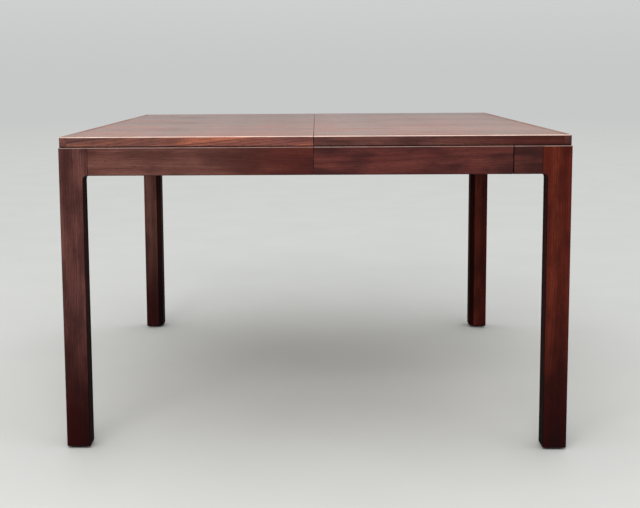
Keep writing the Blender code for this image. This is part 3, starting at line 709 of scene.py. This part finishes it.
class Polisher:
    """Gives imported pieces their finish, their bores and smooth shading over eased arrises."""

    SMOOTH_ANGLE = math.radians(32.0)
    MERGE_DISTANCE = 0.00001
    NORMAL_WEIGHT = 90
    METAL_EDGE = 0.0004
    EDGE_STEPS = 2
    EDGE_ANGLE = math.radians(40.0)

    def __init__(self, nodes: dict[str, Object], finisher: Finisher) -> None:
        """Keep what is finished and what makes the materials, and build the shading group.

        Args:
            nodes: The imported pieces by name.
            finisher: Makes their materials.
        """
        self.nodes = nodes
        self.finisher = finisher
        self.shading = self.build_shading()

    def build_shading(self) -> NodeTree:
        """Build the modifier that joins facets and keeps only sharp arrises sharp.

        Returns:
            The modifier's node group.
        """
        group = bpy.data.node_groups.new("soft_arrises", "GeometryNodeTree")
        for way in ("INPUT", "OUTPUT"):
            group.interface.new_socket("Geometry", in_out=way, socket_type="NodeSocketGeometry")
        tree = Tree(group)
        given = tree.node("NodeGroupInput").outputs[0]
        welding = {"Geometry": given, "Distance": self.MERGE_DISTANCE}
        merged = tree.node("GeometryNodeMergeByDistance", welding).outputs[0]
        angle = tree.node("GeometryNodeInputMeshEdgeAngle").outputs["Unsigned Angle"]
        limit = {"A": angle, "B": self.SMOOTH_ANGLE}
        sharp = tree.node("FunctionNodeCompare", limit, operation="GREATER_THAN").outputs[0]
        edges = {"Mesh": merged, "Remove Custom": True, "Edge Sharpness": sharp}
        shaded = tree.node("GeometryNodeSetMeshNormal", edges, mode="SHARPNESS")
        tree.node("NodeGroupOutput", {0: shaded.outputs[0]})
        return group

    def soften(self, piece: Object) -> None:
        """Add the shading modifier to a piece."""
        piece.modifiers.new("soft arrises", "NODES").node_group = self.shading

    @staticmethod
    def subtract(name: str, piece: Object, cutter: Object) -> None:
        """Cut one object from another.

        Args:
            name: The modifier's name.
            piece: The object that is cut.
            cutter: The object that is cut from it.
        """
        cut = piece.modifiers.new(name, "BOOLEAN")
        cut.object = cutter
        cut.operation = "DIFFERENCE"
        cut.solver = "EXACT"

    def bore(self, node: str, cutter: Object) -> None:
        """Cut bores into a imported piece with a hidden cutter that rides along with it.

        Args:
            node: The piece's name.
            cutter: The bores as one closed mesh.
        """
        cutter.hide_render = True
        cutter.hide_viewport = True
        cutter.display_type = "WIRE"
        self.soften(self.nodes[node])
        self.subtract("bores", self.nodes[node], cutter)

    def finish(self, node: str, material: Material, edge: float = 0.0) -> None:
        """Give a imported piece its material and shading.

        Args:
            node: The piece's name.
            material: Its material.
            edge: Width to which sharp edges are broken, or 0 for none.
        """
        piece = self.nodes[node]
        piece.data.materials.clear()
        piece.data.materials.append(material)
        self.soften(piece)
        if edge:
            broken = piece.modifiers.new("broken edges", "BEVEL")
            broken.width = edge
            broken.segments = self.EDGE_STEPS
            broken.limit_method = "ANGLE"
            broken.angle_limit = self.EDGE_ANGLE
            self.soften(piece)
        weighted = piece.modifiers.new("weighted normals", "WEIGHTED_NORMAL")
        weighted.keep_sharp = True
        weighted.weight = self.NORMAL_WEIGHT
        LOG.info("finished %s", node)

    def board(self, node: str, board: Board) -> None:
        """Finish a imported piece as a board."""
        self.finish(node, self.finisher.wood(node, board, *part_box(node)))

    def metal(self, node: str, metal: MetalFinish) -> None:
        """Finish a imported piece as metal, with its edges broken."""
        self.finish(node, self.finisher.metal(node, metal), self.METAL_EDGE)


# Fixings


def add_object(name: str, shape: Shape) -> Object:
    """Put a shape into the scene as an object, and free it.

    Args:
        name: The object's name.
        shape: The shape.

    Returns:
        The object.
    """
    mesh = bpy.data.meshes.new(name)
    shape.to_mesh(mesh)
    shape.free()
    item = bpy.data.objects.new(name, mesh)
    bpy.context.scene.collection.objects.link(item)
    return item


@dataclass(frozen=True)
class Screw:
    """A slotted countersunk wood screw, of which the head shows.

    Attributes:
        radius: Radius of the head.
        rise: How far the head's crown stands out.
        depth: Depth of the countersink.
        slot_width: Width of the slot.
        slot_depth: Depth of the slot.
        sides: Facets round the head.
    """

    radius: float
    rise: float = 0.00012
    depth: float = 0.0022
    slot_width: float = 0.0009
    slot_depth: float = 0.0011
    sides: int = 24

    # Points of the crown as shares of the radius and of the rise, then other shares of the radius
    CROWN = ((0.0, 1.0), (0.6, 0.85), (0.93, 0.2), (1.0, -1.0))
    NECK = 0.45
    POCKET = 1.8
    SLOT_LENGTH = 3.0

    # Play round the head, how far a cutter reaches out of the face, and the distance that welds points
    PLAY = 0.0002
    OUT = 0.002
    WELD = 0.000005

    def turned(self, profile: list[Pair]) -> Shape:
        """Return a closed turned shape about Z.

        Args:
            profile: Radius and height of its points, from the crown down, both ends on the axis.

        Returns:
            The shape.
        """
        shape = bmesh.new()
        points = [shape.verts.new((radius, 0.0, height)) for radius, height in profile]
        line = [shape.edges.new(pair) for pair in zip(points, points[1:])]
        bmesh.ops.spin(
            shape, geom=points + line, cent=(0, 0, 0), axis=(0, 0, 1), angle=math.tau, steps=self.sides,
            use_merge=True)
        bmesh.ops.remove_doubles(shape, verts=shape.verts, dist=self.WELD)
        bmesh.ops.recalc_face_normals(shape, faces=shape.faces)
        return shape

    def head(self) -> Shape:
        """Return the head, without its slot."""
        crown = [(self.radius * out, self.rise * up) for out, up in self.CROWN]
        return self.turned([*crown, (self.radius * self.NECK, -self.depth), (0.0, -self.depth)])

    def slot(self) -> Shape:
        """Return the block that is cut from the head.

        Returns:
            The block, about the head's middle.
        """
        shape = bmesh.new()
        size = (self.radius * self.SLOT_LENGTH, self.slot_width, self.slot_depth * 2.0, 1.0)
        bmesh.ops.create_cube(shape, size=1.0, matrix=Matrix.Diagonal(size))
        return shape

    def sink(self, pocket: float) -> Shape:
        """Return the countersink, with a round pocket over it.

        Args:
            pocket: Depth of the pocket, or 0 for none.

        Returns:
            The shape that is cut from the board, reaching out of its face.
        """
        rim = self.radius + self.PLAY
        wide = self.radius * self.POCKET if pocket else rim
        bottom = -pocket - self.depth - self.PLAY
        return self.turned([
            (0.0, self.OUT), (wide, self.OUT), (wide, -pocket), (rim, -pocket - self.PLAY),
            (rim * self.NECK, bottom), (0.0, bottom)])


class Joiner:
    """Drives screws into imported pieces: bores their places and adds the heads."""

    TURN = math.radians(137.5)

    def __init__(self, polisher: Polisher) -> None:
        """Keep the polisher and make the screws' material."""
        self.polisher = polisher
        self.material = polisher.finisher.metal("screws", STEEL)

    @staticmethod
    def repeated(name: str, shape: Shape, places: list[Matrix]) -> Object:
        """Return one object with a copy of a shape at each place.

        Args:
            name: The object's name.
            shape: The shape, with +Z out of the surface; it is freed.
            places: Frames of the copies.

        Returns:
            The object.
        """
        single = bpy.data.meshes.new(name)
        shape.to_mesh(single)
        shape.free()
        joined = bmesh.new()
        for place in places:
            copy = single.copy()
            copy.transform(place)
            joined.from_mesh(copy)
            bpy.data.meshes.remove(copy)
        bpy.data.meshes.remove(single)
        return add_object(name, joined)

    def drive(self, node: str, body: Body, screw: Screw, places: list[Matrix], pocket: float = 0.0) -> None:
        """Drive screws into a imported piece.

        Args:
            node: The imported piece.
            body: The body that the piece belongs to.
            screw: The kind of screw.
            places: Frames on the piece's face, with +Z out of it.
            pocket: Depth of the pockets over the heads.
        """
        bores = self.repeated(node + "_bores", screw.sink(pocket), places)
        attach(bores, body.value)
        self.polisher.bore(node, bores)
        sunk = [
            place @ Matrix.Translation((0, 0, -pocket)) @ Matrix.Rotation(index * self.TURN, 4, "Z")
            for index, place in enumerate(places)
        ]
        heads = self.repeated(node + "_screws", screw.head(), sunk)
        slots = self.repeated(node + "_slots", screw.slot(), sunk)
        self.polisher.subtract("slots", heads, slots)
        bpy.context.view_layer.update()
        solid = bpy.data.meshes.new_from_object(heads.evaluated_get(bpy.context.evaluated_depsgraph_get()))
        heads.modifiers.clear()
        heads.data = solid
        bpy.data.objects.remove(slots, do_unlink=True)
        solid.materials.clear()
        solid.materials.append(self.material)
        self.polisher.soften(heads)
        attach(heads, body.value)
        LOG.info("drove %d screws into %s", len(places), node)


def middle(node: str) -> Vector:
    """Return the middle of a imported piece's box."""
    low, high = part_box(node)
    return (low + high) / 2


def below(x: float, y: float, z: float) -> Matrix:
    """Return a frame on a lower face, with +Z pointing down."""
    return Matrix.Translation((x, y, z)) @ Matrix.Rotation(math.pi, 4, "X")


def row(node: str, start: float, end: float, count: int) -> list[Matrix]:
    """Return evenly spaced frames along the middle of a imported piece's lower face.

    Args:
        node: The piece's name.
        start: Place of the first along X.
        end: Place of the last along X.
        count: How many there are.

    Returns:
        The frames, with +Z pointing down.
    """
    low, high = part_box(node)
    xs = [start + (end - start) * index / (count - 1) for index in range(count)]
    return [below(x, (low.y + high.y) / 2, low.z) for x in xs]


# Sub-assemblies


class Assembly:
    """A sub-assembly of the table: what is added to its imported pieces, and their finishes."""

    def build(self, joiner: Joiner) -> None:
        """Add nothing, where the pieces are only glued."""

    def boards(self) -> dict[str, Board]:
        """Return the wooden pieces by name."""
        return {}

    def metals(self) -> dict[str, MetalFinish]:
        """Return the metal pieces by name."""
        return {}

    def dress(self, polisher: Polisher) -> None:
        """Finish the wooden and the metal pieces.

        Args:
            polisher: Gives the pieces their finishes.
        """
        for node, board in self.boards().items():
            polisher.board(node, board)
        for node, metal in self.metals().items():
            polisher.metal(node, metal)


@dataclass
class Top(Assembly):
    """The two halves of the top, with veneered panels and solid lippings.

    Attributes:
        leaf_width: Width of the veneer leaves.
        seam_grime: Width of the dark line beside the seam.
        under_painted_shadow: Width of the painted shadow line under the lippings.
        rubbed: How pale the lippings' upper arrises are, from wear and a painted highlight.
        rubbed_front: How pale those that face the front are.
        purple: Darkening of the left front lipping from its flamed stretch to its end.
        brown: Darkening of that lipping from its flamed stretch to the seam.
        dusk: Darkening of the right front lipping towards its end.
        end_grain: Darkening of the end grain of the right end lipping at the front.
        rear_painted_shade: Painted shade that darkens the panels towards the rear.
    """

    leaf_width: float = 0.165
    seam_grime: float = 0.0010
    under_painted_shadow: float = 0.0040
    rubbed: float = 0.40
    rubbed_front: float = 0.90
    purple: Shade = Shade((0.46, 0.55, 0.70), Way.LEFT, 0.27, 0.38)
    brown: Shade = Shade((0.70, 0.68, 0.80), Way.RIGHT, -0.13, -0.05)
    dusk: Shade = Shade((0.58, 0.34, 0.31), Way.RIGHT, 0.16, 0.56)
    end_grain: Shade = Shade((0.70, 0.62, 0.66), Way.FRONT, 0.570, 0.590)
    # Painted shade: the panels darken towards the rear
    rear_painted_shade: Shade = Shade((0.60, 0.58, 0.60), Way.REAR, -0.50, 0.50)

    def boards(self) -> dict[str, Board]:
        """Return the panels and lippings.

        Returns:
            The boards by name.
        """
        boards = {}
        for half, seed in (("left", 0.37), ("right", 3.47)):
            cut = Cut(Grain.ALONG_X, (0.03, -0.12), (0.02, 0.01), seed)
            boards[half + "_top_panel"] = Board(
                VENEER, cut, (self.rear_painted_shade,), self.leaf_width, rubbed=0.0, rubbed_front=0.0)
        flamed = Cut(Grain.ALONG_X, (0.02, -0.26), (0.0, -0.10), 0.9)
        lippings = {
            "left_front": (FLAMED, flamed, self.purple, self.brown),
            "right_front": (PURPLE, Cut(Grain.ALONG_X, (0.02, -0.06), (0.0, 0.02), 2.2), self.dusk),
            "left_end": (WARM, Cut(Grain.ALONG_Y, (0.02, -0.05), (0.03, 0.0), 6.1)),
            "right_end": (PURPLE, Cut(Grain.ALONG_Y, (0.02, -0.05), (-0.04, 0.0), 7.2), self.end_grain),
            "left_rear": (ROSEWOOD, Cut(Grain.ALONG_X, (0.02, -0.05), (0.0, 0.04), 4.4)),
            "right_rear": (ROSEWOOD, Cut(Grain.ALONG_X, (0.02, -0.05), (0.0, -0.04), 5.3)),
        }
        for place, (wood, cut, *shades) in lippings.items():
            boards[place + "_lipping"] = Board(
                wood, cut, tuple(shades), seam_grime=self.seam_grime, under_painted_shadow=self.under_painted_shadow,
                rubbed=self.rubbed, rubbed_front=self.rubbed_front)
        return boards


@dataclass
class Frame(Assembly):
    """The aprons, the short block at the front right and the fixing battens.

    The front and rear aprons meet at the seam when the table is shut. A thin facing on the ends of the
    left ones takes up the running gap there.

    Attributes:
        facing_thickness: Thickness of the facing.
        facing_margin: How far the facing keeps from the apron's outline, and the radius of its corners.
        seam_grime: Width of the dark line beside the seam.
        redder: Change of the left front apron towards the seam.
        deeper: Darkening of the whole block.
        batten_screws: Screws in each batten.
        batten_margin: Distance of the outer screws from a batten's ends.
        screw: The kind of screw.
    """

    facing_thickness: float = 0.0003
    facing_margin: float = 0.0012
    seam_grime: float = 0.0013
    redder: Shade = Shade((0.62, 0.30, 0.28), Way.RIGHT, -0.30, -0.05)
    deeper: Shade = Shade((0.82, 0.84, 0.77), Way.RIGHT, -1.0, -0.9)
    batten_screws: int = 4
    batten_margin: float = 0.035
    screw: Screw = Screw(radius=0.0036)

    CORNER_STEPS = 4

    def build(self, joiner: Joiner) -> None:
        """Face the ends at the seam and drive the screws that hold the top to the battens.

        Args:
            joiner: Drives the screws.
        """
        for place in PLACES:
            self.face_end(joiner.polisher.finisher, f"left_{place}_apron", f"left_{place}_seam_facing")
        for half, body in HALVES.items():
            for place in PLACES:
                node = f"{half}_{place}_batten"
                low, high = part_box(node)
                ends = (low.x + self.batten_margin, high.x - self.batten_margin)
                joiner.drive(node, body, self.screw, row(node, *ends, self.batten_screws))

    def face_end(self, finisher: Finisher, node: str, name: str) -> None:
        """Glue a thin facing with rounded corners to the end of an apron at the seam.

        Args:
            finisher: Makes the facing's material.
            node: The apron.
            name: The facing's name.
        """
        low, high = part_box(node)
        margin = Vector((0.0, self.facing_margin, self.facing_margin))
        low, high = low + margin, high - margin
        size = Matrix.Diagonal((self.facing_thickness, high.y - low.y, high.z - low.z, 1.0))
        place = Vector((high.x + self.facing_thickness / 2, (low.y + high.y) / 2, (low.z + high.z) / 2))
        shape = bmesh.new()
        bmesh.ops.create_cube(shape, size=1.0, matrix=Matrix.Translation(place) @ size)
        through = [edge for edge in shape.edges if len({vert.co.x > place.x for vert in edge.verts}) > 1]
        bmesh.ops.bevel(
            shape, geom=through, offset=self.facing_margin, segments=self.CORNER_STEPS, profile=0.5,
            affect="EDGES")
        facing = add_object(name, shape)
        board = Board(ROSEWOOD, Cut(Grain.ALONG_Z, seed=low.y))
        facing.data.materials.append(finisher.wood(name, board, low, high))
        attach(facing, Body.LEFT.value)
        LOG.info("faced %s", node)

    def boards(self) -> dict[str, Board]:
        """Return the aprons, the block and the battens.

        Returns:
            The boards by name.
        """
        aprons = {
            "left_front_apron": (WARM, Cut(Grain.ALONG_X, (0.04, -0.08), (0.0, 0.02), 10.1), self.redder),
            "right_front_apron": (ROSEWOOD, Cut(Grain.ALONG_X, (0.04, -0.09), (0.0, -0.03), 19.6)),
            "right_front_apron_block": (
                ROSEWOOD, Cut(Grain.ALONG_X, (0.03, -0.10), (0.0, 0.0), 12.9), self.deeper),
        }
        boards = {}
        for index, half in enumerate(HALVES):
            aprons[half + "_rear_apron"] = (ROSEWOOD, Cut(Grain.ALONG_X, seed=13.3 + index))
            aprons[half + "_end_apron"] = (ROSEWOOD, Cut(Grain.ALONG_Y, seed=15.8 + index))
            for place in PLACES:
                boards[f"{half}_{place}_batten"] = Board(BEECH, Cut(Grain.ALONG_X, seed=17.4 + 2 * index))
        for node, (wood, cut, *shades) in aprons.items():
            boards[node] = Board(wood, cut, tuple(shades), seam_grime=self.seam_grime)
        return boards


@dataclass
class Corners(Assembly):
    """Legs, glides, corner blocks, hanger bolts and nuts at the four corners.

    Attributes:
        foot_painted_shade: Painted shade that darkens the legs towards the bottom.
        outer_dark_stripe: The dark stripe along the outer side of the rear right leg.
        screw: The kind of screw in the corner blocks.
        screw_from_middle: Distance of the block's screws from its bolt.
    """

    # Painted shade: the legs darken towards the bottom
    foot_painted_shade: Shade = Shade((0.20, 0.010, 0.006), Way.DOWN, -0.44, -0.05)
    outer_dark_stripe: Shade = Shade((0.62, 0.40, 0.36), Way.RIGHT, 0.572, 0.590)
    screw: Screw = Screw(radius=0.0036)
    screw_from_middle: float = 0.046

    def build(self, joiner: Joiner) -> None:
        """Drive the screws through the corner blocks' inner faces.

        Args:
            joiner: Drives the screws.
        """
        for corner in CORNERS:
            node = "corner_block_" + corner
            face = middle(node)
            body = Body.LEFT if face.x < 0.0 else Body.RIGHT
            inward = Vector((-math.copysign(1.0, face.x), -math.copysign(1.0, face.y), 0.0)).normalized()
            along = Vector((-inward.y, inward.x, 0.0))
            turn = inward.to_track_quat("Z", "Y").to_matrix().to_4x4()
            ends = [face + along * side * self.screw_from_middle for side in (-1, 1)]
            joiner.drive(node, body, self.screw, [Matrix.Translation(end) @ turn for end in ends])

    def boards(self) -> dict[str, Board]:
        """Return the legs and corner blocks.

        Returns:
            The boards by name.
        """
        legs = (
            Board(PURPLE, Cut(Grain.ALONG_Z, (0.05, -0.11), (0.008, 0.0), 20.9), (self.foot_painted_shade,)),
            Board(REDDISH, Cut(Grain.ALONG_Z, (0.04, -0.08), (-0.012, 0.0), 22.6), (self.foot_painted_shade,)),
            Board(WARM, Cut(Grain.ALONG_Z, (0.05, -0.10), (0.01, 0.0), 23.4), (self.foot_painted_shade,)),
            Board(REDDISH, Cut(Grain.ALONG_Z, (0.06, -0.09), (-0.01, 0.0), 24.8), (self.outer_dark_stripe,)),
        )
        boards = {}
        for index, (corner, leg) in enumerate(zip(CORNERS, legs)):
            boards["leg_" + corner] = leg
            boards["corner_block_" + corner] = Board(BEECH, Cut(Grain.ALONG_X, seed=30.5 + index))
        return boards

    def metals(self) -> dict[str, MetalFinish]:
        """Return the glides, hanger bolts and nuts by name."""
        pieces = ("glide_", "hanger_bolt_", "hanger_nut_")
        return {piece + corner: STEEL for corner in CORNERS for piece in pieces}


@dataclass
class Slides(Assembly):
    """Wooden slides, their runners and ties, and the alignment pins at the seam.

    Attributes:
        seed: Where along the log the boards start.
        member_shift: Shift along the log from one member of a slide to the next.
        screw: The kind of screw.
        pocket: Depth of the screw pockets in the slides.
        slide_screws: Screws in each slide.
        slide_margin: Distance of the outer screws from a slide's fixed end and from the seam.
        tie_pitch: Distance between the two screws of a tie in each runner.
    """

    seed: float = 40.0
    member_shift: float = 0.3
    screw: Screw = Screw(radius=0.0040)
    pocket: float = 0.018
    slide_screws: int = 4
    slide_margin: float = 0.040
    tie_pitch: float = 0.028

    def build(self, joiner: Joiner) -> None:
        """Drive the screws of the slides and the ties.

        Args:
            joiner: Drives the screws.
        """
        for place in PLACES:
            for half, side in (("left", -1), ("right", 1)):
                node = f"slide_{half}_{place}"
                low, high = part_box(node)
                fixed = low.x if side < 0 else high.x
                ends = (fixed - side * self.slide_margin, side * self.slide_margin)
                places = row(node, *ends, self.slide_screws)
                joiner.drive(node, HALVES[half], self.screw, places, self.pocket)
        runner = middle("slide_runner_front").y
        for half in HALVES:
            node = "slide_tie_" + half
            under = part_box(node)[0].z
            xs = [middle(node).x + side * self.tie_pitch / 2 for side in (-1, 1)]
            places = [below(x, y, under) for y in (runner, -runner) for x in xs]
            joiner.drive(node, Body.MIDDLE, self.screw, places)

    def boards(self) -> dict[str, Board]:
        """Return the slides, ties and pins.

        Returns:
            The boards by name.
        """
        boards = {}
        for index, place in enumerate(PLACES):
            for step, member in enumerate(("left", "runner", "right")):
                cut = Cut(Grain.ALONG_X, seed=self.seed + index + self.member_shift * step)
                boards[f"slide_{member}_{place}"] = Board(BEECH, cut)
        for index, half in enumerate(HALVES, start=3):
            boards["slide_tie_" + half] = Board(BEECH, Cut(Grain.ALONG_Y, seed=self.seed + index))
        for index, place in enumerate(("front", "centre", "rear"), start=6):
            boards["alignment_pin_" + place] = Board(BEECH, Cut(Grain.ALONG_X, seed=self.seed + index))
        return boards


@dataclass
class Locks(Assembly):
    """The two locks under the seam, with plates and keepers screwed to the top.

    Attributes:
        screw: The kind of screw.
        screw_inset: Distance of the screws from a plate's edges.
    """

    screw: Screw = Screw(radius=0.0026, rise=0.00008, depth=0.0018, slot_depth=0.0009)
    screw_inset: float = 0.0055

    def build(self, joiner: Joiner) -> None:
        """Drive a screw into each corner of the plates and keepers.

        Args:
            joiner: Drives the screws.
        """
        inset = self.screw_inset
        for place in PLACES:
            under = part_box("lock_plate_" + place)[0].z
            for piece, body in (("lock_plate_", Body.LEFT), ("lock_keeper_", Body.RIGHT)):
                low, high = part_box(piece + place)
                ys = (low.y + inset, high.y - inset)
                places = [below(x, y, under) for x in (low.x + inset, high.x - inset) for y in ys]
                joiner.drive(piece + place, body, self.screw, places)

    def metals(self) -> dict[str, MetalFinish]:
        """Return the plates, levers, keepers and rivets by name."""
        finishes = {"plate": BLACKENED, "lever": BLACKENED, "keeper": BLACKENED, "rivet": STEEL}
        return {f"lock_{piece}_{place}": metal for place in PLACES for piece, metal in finishes.items()}


# Studio and camera


@dataclass
class Studio:
    """A plain pale floor under a soft overhead sky, with one broad lamp in front.

    Attributes:
        floor_radius: Radius of the floor.
        floor_colour: Colour of the floor.
        floor_shade: How much of that colour the floor's darkest clouds keep.
        floor_clouds: Levels of noise between which the clouds change.
        floor_roughness: Roughness of the floor.
        floor_specular: Specular level of the floor.
        haze: Shares of the radius between which the floor fades into the backdrop.
        backdrop: Brightness of the sky that is seen at the horizon.
        horizon: Brightness of the light from the horizon.
        zenith: Brightness of the sky overhead.
        sky_power: How late the sky brightens towards the zenith.
        tint: Colour of the sky.
        lamp_place: Place of the lamp in front.
        lamp_aim: Point that the lamp shines at.
        lamp_size: Width and height of the lamp.
        lamp_power: Power of the lamp in watts.
    """

    floor_radius: float = 30.0
    floor_colour: Colour = (0.52, 0.52, 0.505)
    floor_shade: float = 0.96
    floor_clouds: Pair = (0.2, 0.8)
    floor_roughness: float = 0.85
    floor_specular: float = 0.2
    haze: Pair = (0.15, 0.60)
    backdrop: float = 0.58
    horizon: float = 0.30
    zenith: float = 1.75
    sky_power: float = 1.2
    tint: Colour = (0.985, 1.0, 0.995)
    lamp_place: Triple = (-0.6, -3.2, 2.7)
    lamp_aim: Triple = (0.0, 0.0, 0.5)
    lamp_size: Pair = (3.0, 1.6)
    lamp_power: float = 75.0

    FLOOR_SIDES = 96

    def build(self) -> None:
        """Build the floor, the sky and the lamp."""
        self.build_floor()
        self.build_sky()
        self.build_lamp()

    def build_floor(self) -> None:
        """Build the floor, a broad disc that fades into the sky's colour far from the table."""
        shape = bmesh.new()
        bmesh.ops.create_circle(shape, cap_ends=True, segments=self.FLOOR_SIDES, radius=self.floor_radius)
        floor = add_object("studio_floor", shape)
        material, tree, shader, place = Finisher.start("studio_floor")
        clouds = tree.between(tree.noise(place, cells=(3.0, 3.0, 3.0), detail=6.0), *self.floor_clouds)
        darker = tuple(self.floor_shade * part for part in self.floor_colour)
        tree.feed(shader["Base Color"], tree.blend(clouds, darker, self.floor_colour))
        tree.feed(shader["Roughness"], self.floor_roughness)
        tree.feed(shader["Specular IOR Level"], self.floor_specular)
        distance = tree.vector("LENGTH", place, output="Value")
        far = tree.between(distance, *(self.floor_radius * share for share in self.haze))
        haze = tree.node("ShaderNodeEmission", {"Color": self.tint, "Strength": self.backdrop})
        near = material.node_tree.nodes["Principled BSDF"]
        mixed = tree.node("ShaderNodeMixShader", {0: far, 1: near.outputs[0], 2: haze.outputs[0]})
        tree.feed(material.node_tree.nodes["Material Output"].inputs["Surface"], mixed.outputs[0])
        floor.data.materials.append(material)

    def build_sky(self) -> None:
        """Build the sky, brighter overhead; what is seen or mirrored of it stays pale at the horizon."""
        world = bpy.data.worlds.new("studio_sky")
        world.use_nodes = True
        bpy.context.scene.world = world
        tree = Tree(world.node_tree)
        up = tree.split(tree.node("ShaderNodeTexCoord").outputs["Generated"])[2]
        height = tree.math("POWER", tree.math("MAXIMUM", up, 0.0), self.sky_power)
        light = tree.math("MULTIPLY_ADD", height, self.zenith - self.horizon, self.horizon)
        shown = tree.math("MULTIPLY_ADD", height, self.zenith - self.backdrop, self.backdrop)
        path = tree.node("ShaderNodeLightPath").outputs
        mirrored = tree.math("MAXIMUM", path["Is Glossy Ray"], path["Is Transmission Ray"])
        seen = tree.math("MAXIMUM", path["Is Camera Ray"], mirrored)
        extra = tree.math("SUBTRACT", shown, light)
        background = world.node_tree.nodes["Background"].inputs
        tree.feed(background["Color"], self.tint)
        tree.feed(background["Strength"], tree.math("MULTIPLY_ADD", extra, seen, light))

    def build_lamp(self) -> None:
        """Build the broad lamp in front."""
        lamp = bpy.data.lights.new("front_lamp", "AREA")
        lamp.shape = "RECTANGLE"
        lamp.size, lamp.size_y = self.lamp_size
        lamp.energy = self.lamp_power
        item = bpy.data.objects.new("front_lamp", lamp)
        item.location = self.lamp_place
        item.rotation_mode = "QUATERNION"
        item.rotation_quaternion = (Vector(self.lamp_aim) - Vector(self.lamp_place)).to_track_quat("-Z", "Y")
        bpy.context.scene.collection.objects.link(item)


@dataclass
class PhotoCamera:
    """The camera at the photograph's place and angle.

    Attributes:
        place: Place of the lens in the frame.
        yaw: Turn about the upright, in degrees, to the right.
        pitch: Tilt above the horizon, in degrees.
        roll: Turn about the line of sight, in degrees.
        focal_pixels: Focal length in pixels of the image.
        centre_pixel: Where the line of sight meets the image, from its upper left corner.
        sensor_width: Width of the sensor in millimetres.
        clip: Nearest and farthest distance that is shown.
    """

    place: Triple = (0.0083, -2.9097, 0.9052)
    yaw: float = -1.579
    pitch: float = -5.974
    roll: float = -0.412
    focal_pixels: float = 994.7
    centre_pixel: Pair = (290.0, 175.0)
    sensor_width: float = 36.0
    clip: Pair = (0.05, 200.0)

    def build(self) -> None:
        """Build the camera and make it the scene's."""
        data = bpy.data.cameras.new("photo_camera")
        data.sensor_width = self.sensor_width
        data.lens = self.focal_pixels * self.sensor_width / IMAGE_WIDTH
        data.shift_x = (IMAGE_WIDTH / 2 - self.centre_pixel[0]) / IMAGE_WIDTH
        data.shift_y = (self.centre_pixel[1] - IMAGE_HEIGHT / 2) / IMAGE_WIDTH
        data.clip_start, data.clip_end = self.clip
        camera = bpy.data.objects.new("photo_camera", data)
        level = Matrix.Rotation(math.radians(-self.yaw), 4, "Z")
        tilt = Matrix.Rotation(math.radians(90.0 + self.pitch), 4, "X")
        roll = Matrix.Rotation(math.radians(self.roll), 4, "Z")
        camera.matrix_world = Matrix.Translation(self.place) @ level @ tilt @ roll
        bpy.context.scene.collection.objects.link(camera)
        bpy.context.scene.camera = camera


def clear_scene() -> None:
    """Remove what the scene starts with."""
    for item in list(bpy.data.objects):
        bpy.data.objects.remove(item, do_unlink=True)


def main() -> None:
    """Dress the table, then build the studio and the camera."""
    logging.basicConfig(level=logging.INFO, format="%(name)s: %(message)s")
    clear_scene()
    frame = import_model()
    bpy.context.scene.view_settings.view_transform = "Standard"
    polisher = Polisher(frame["nodes"], Finisher(Effects()))
    joiner = Joiner(polisher)
    for part in (Top(), Frame(), Corners(), Slides(), Locks()):
        part.build(joiner)
        part.dress(polisher)
        LOG.info("dressed %s", type(part).__name__)
    Studio().build()
    PhotoCamera().build()


if __name__ == "__main__":
    main()
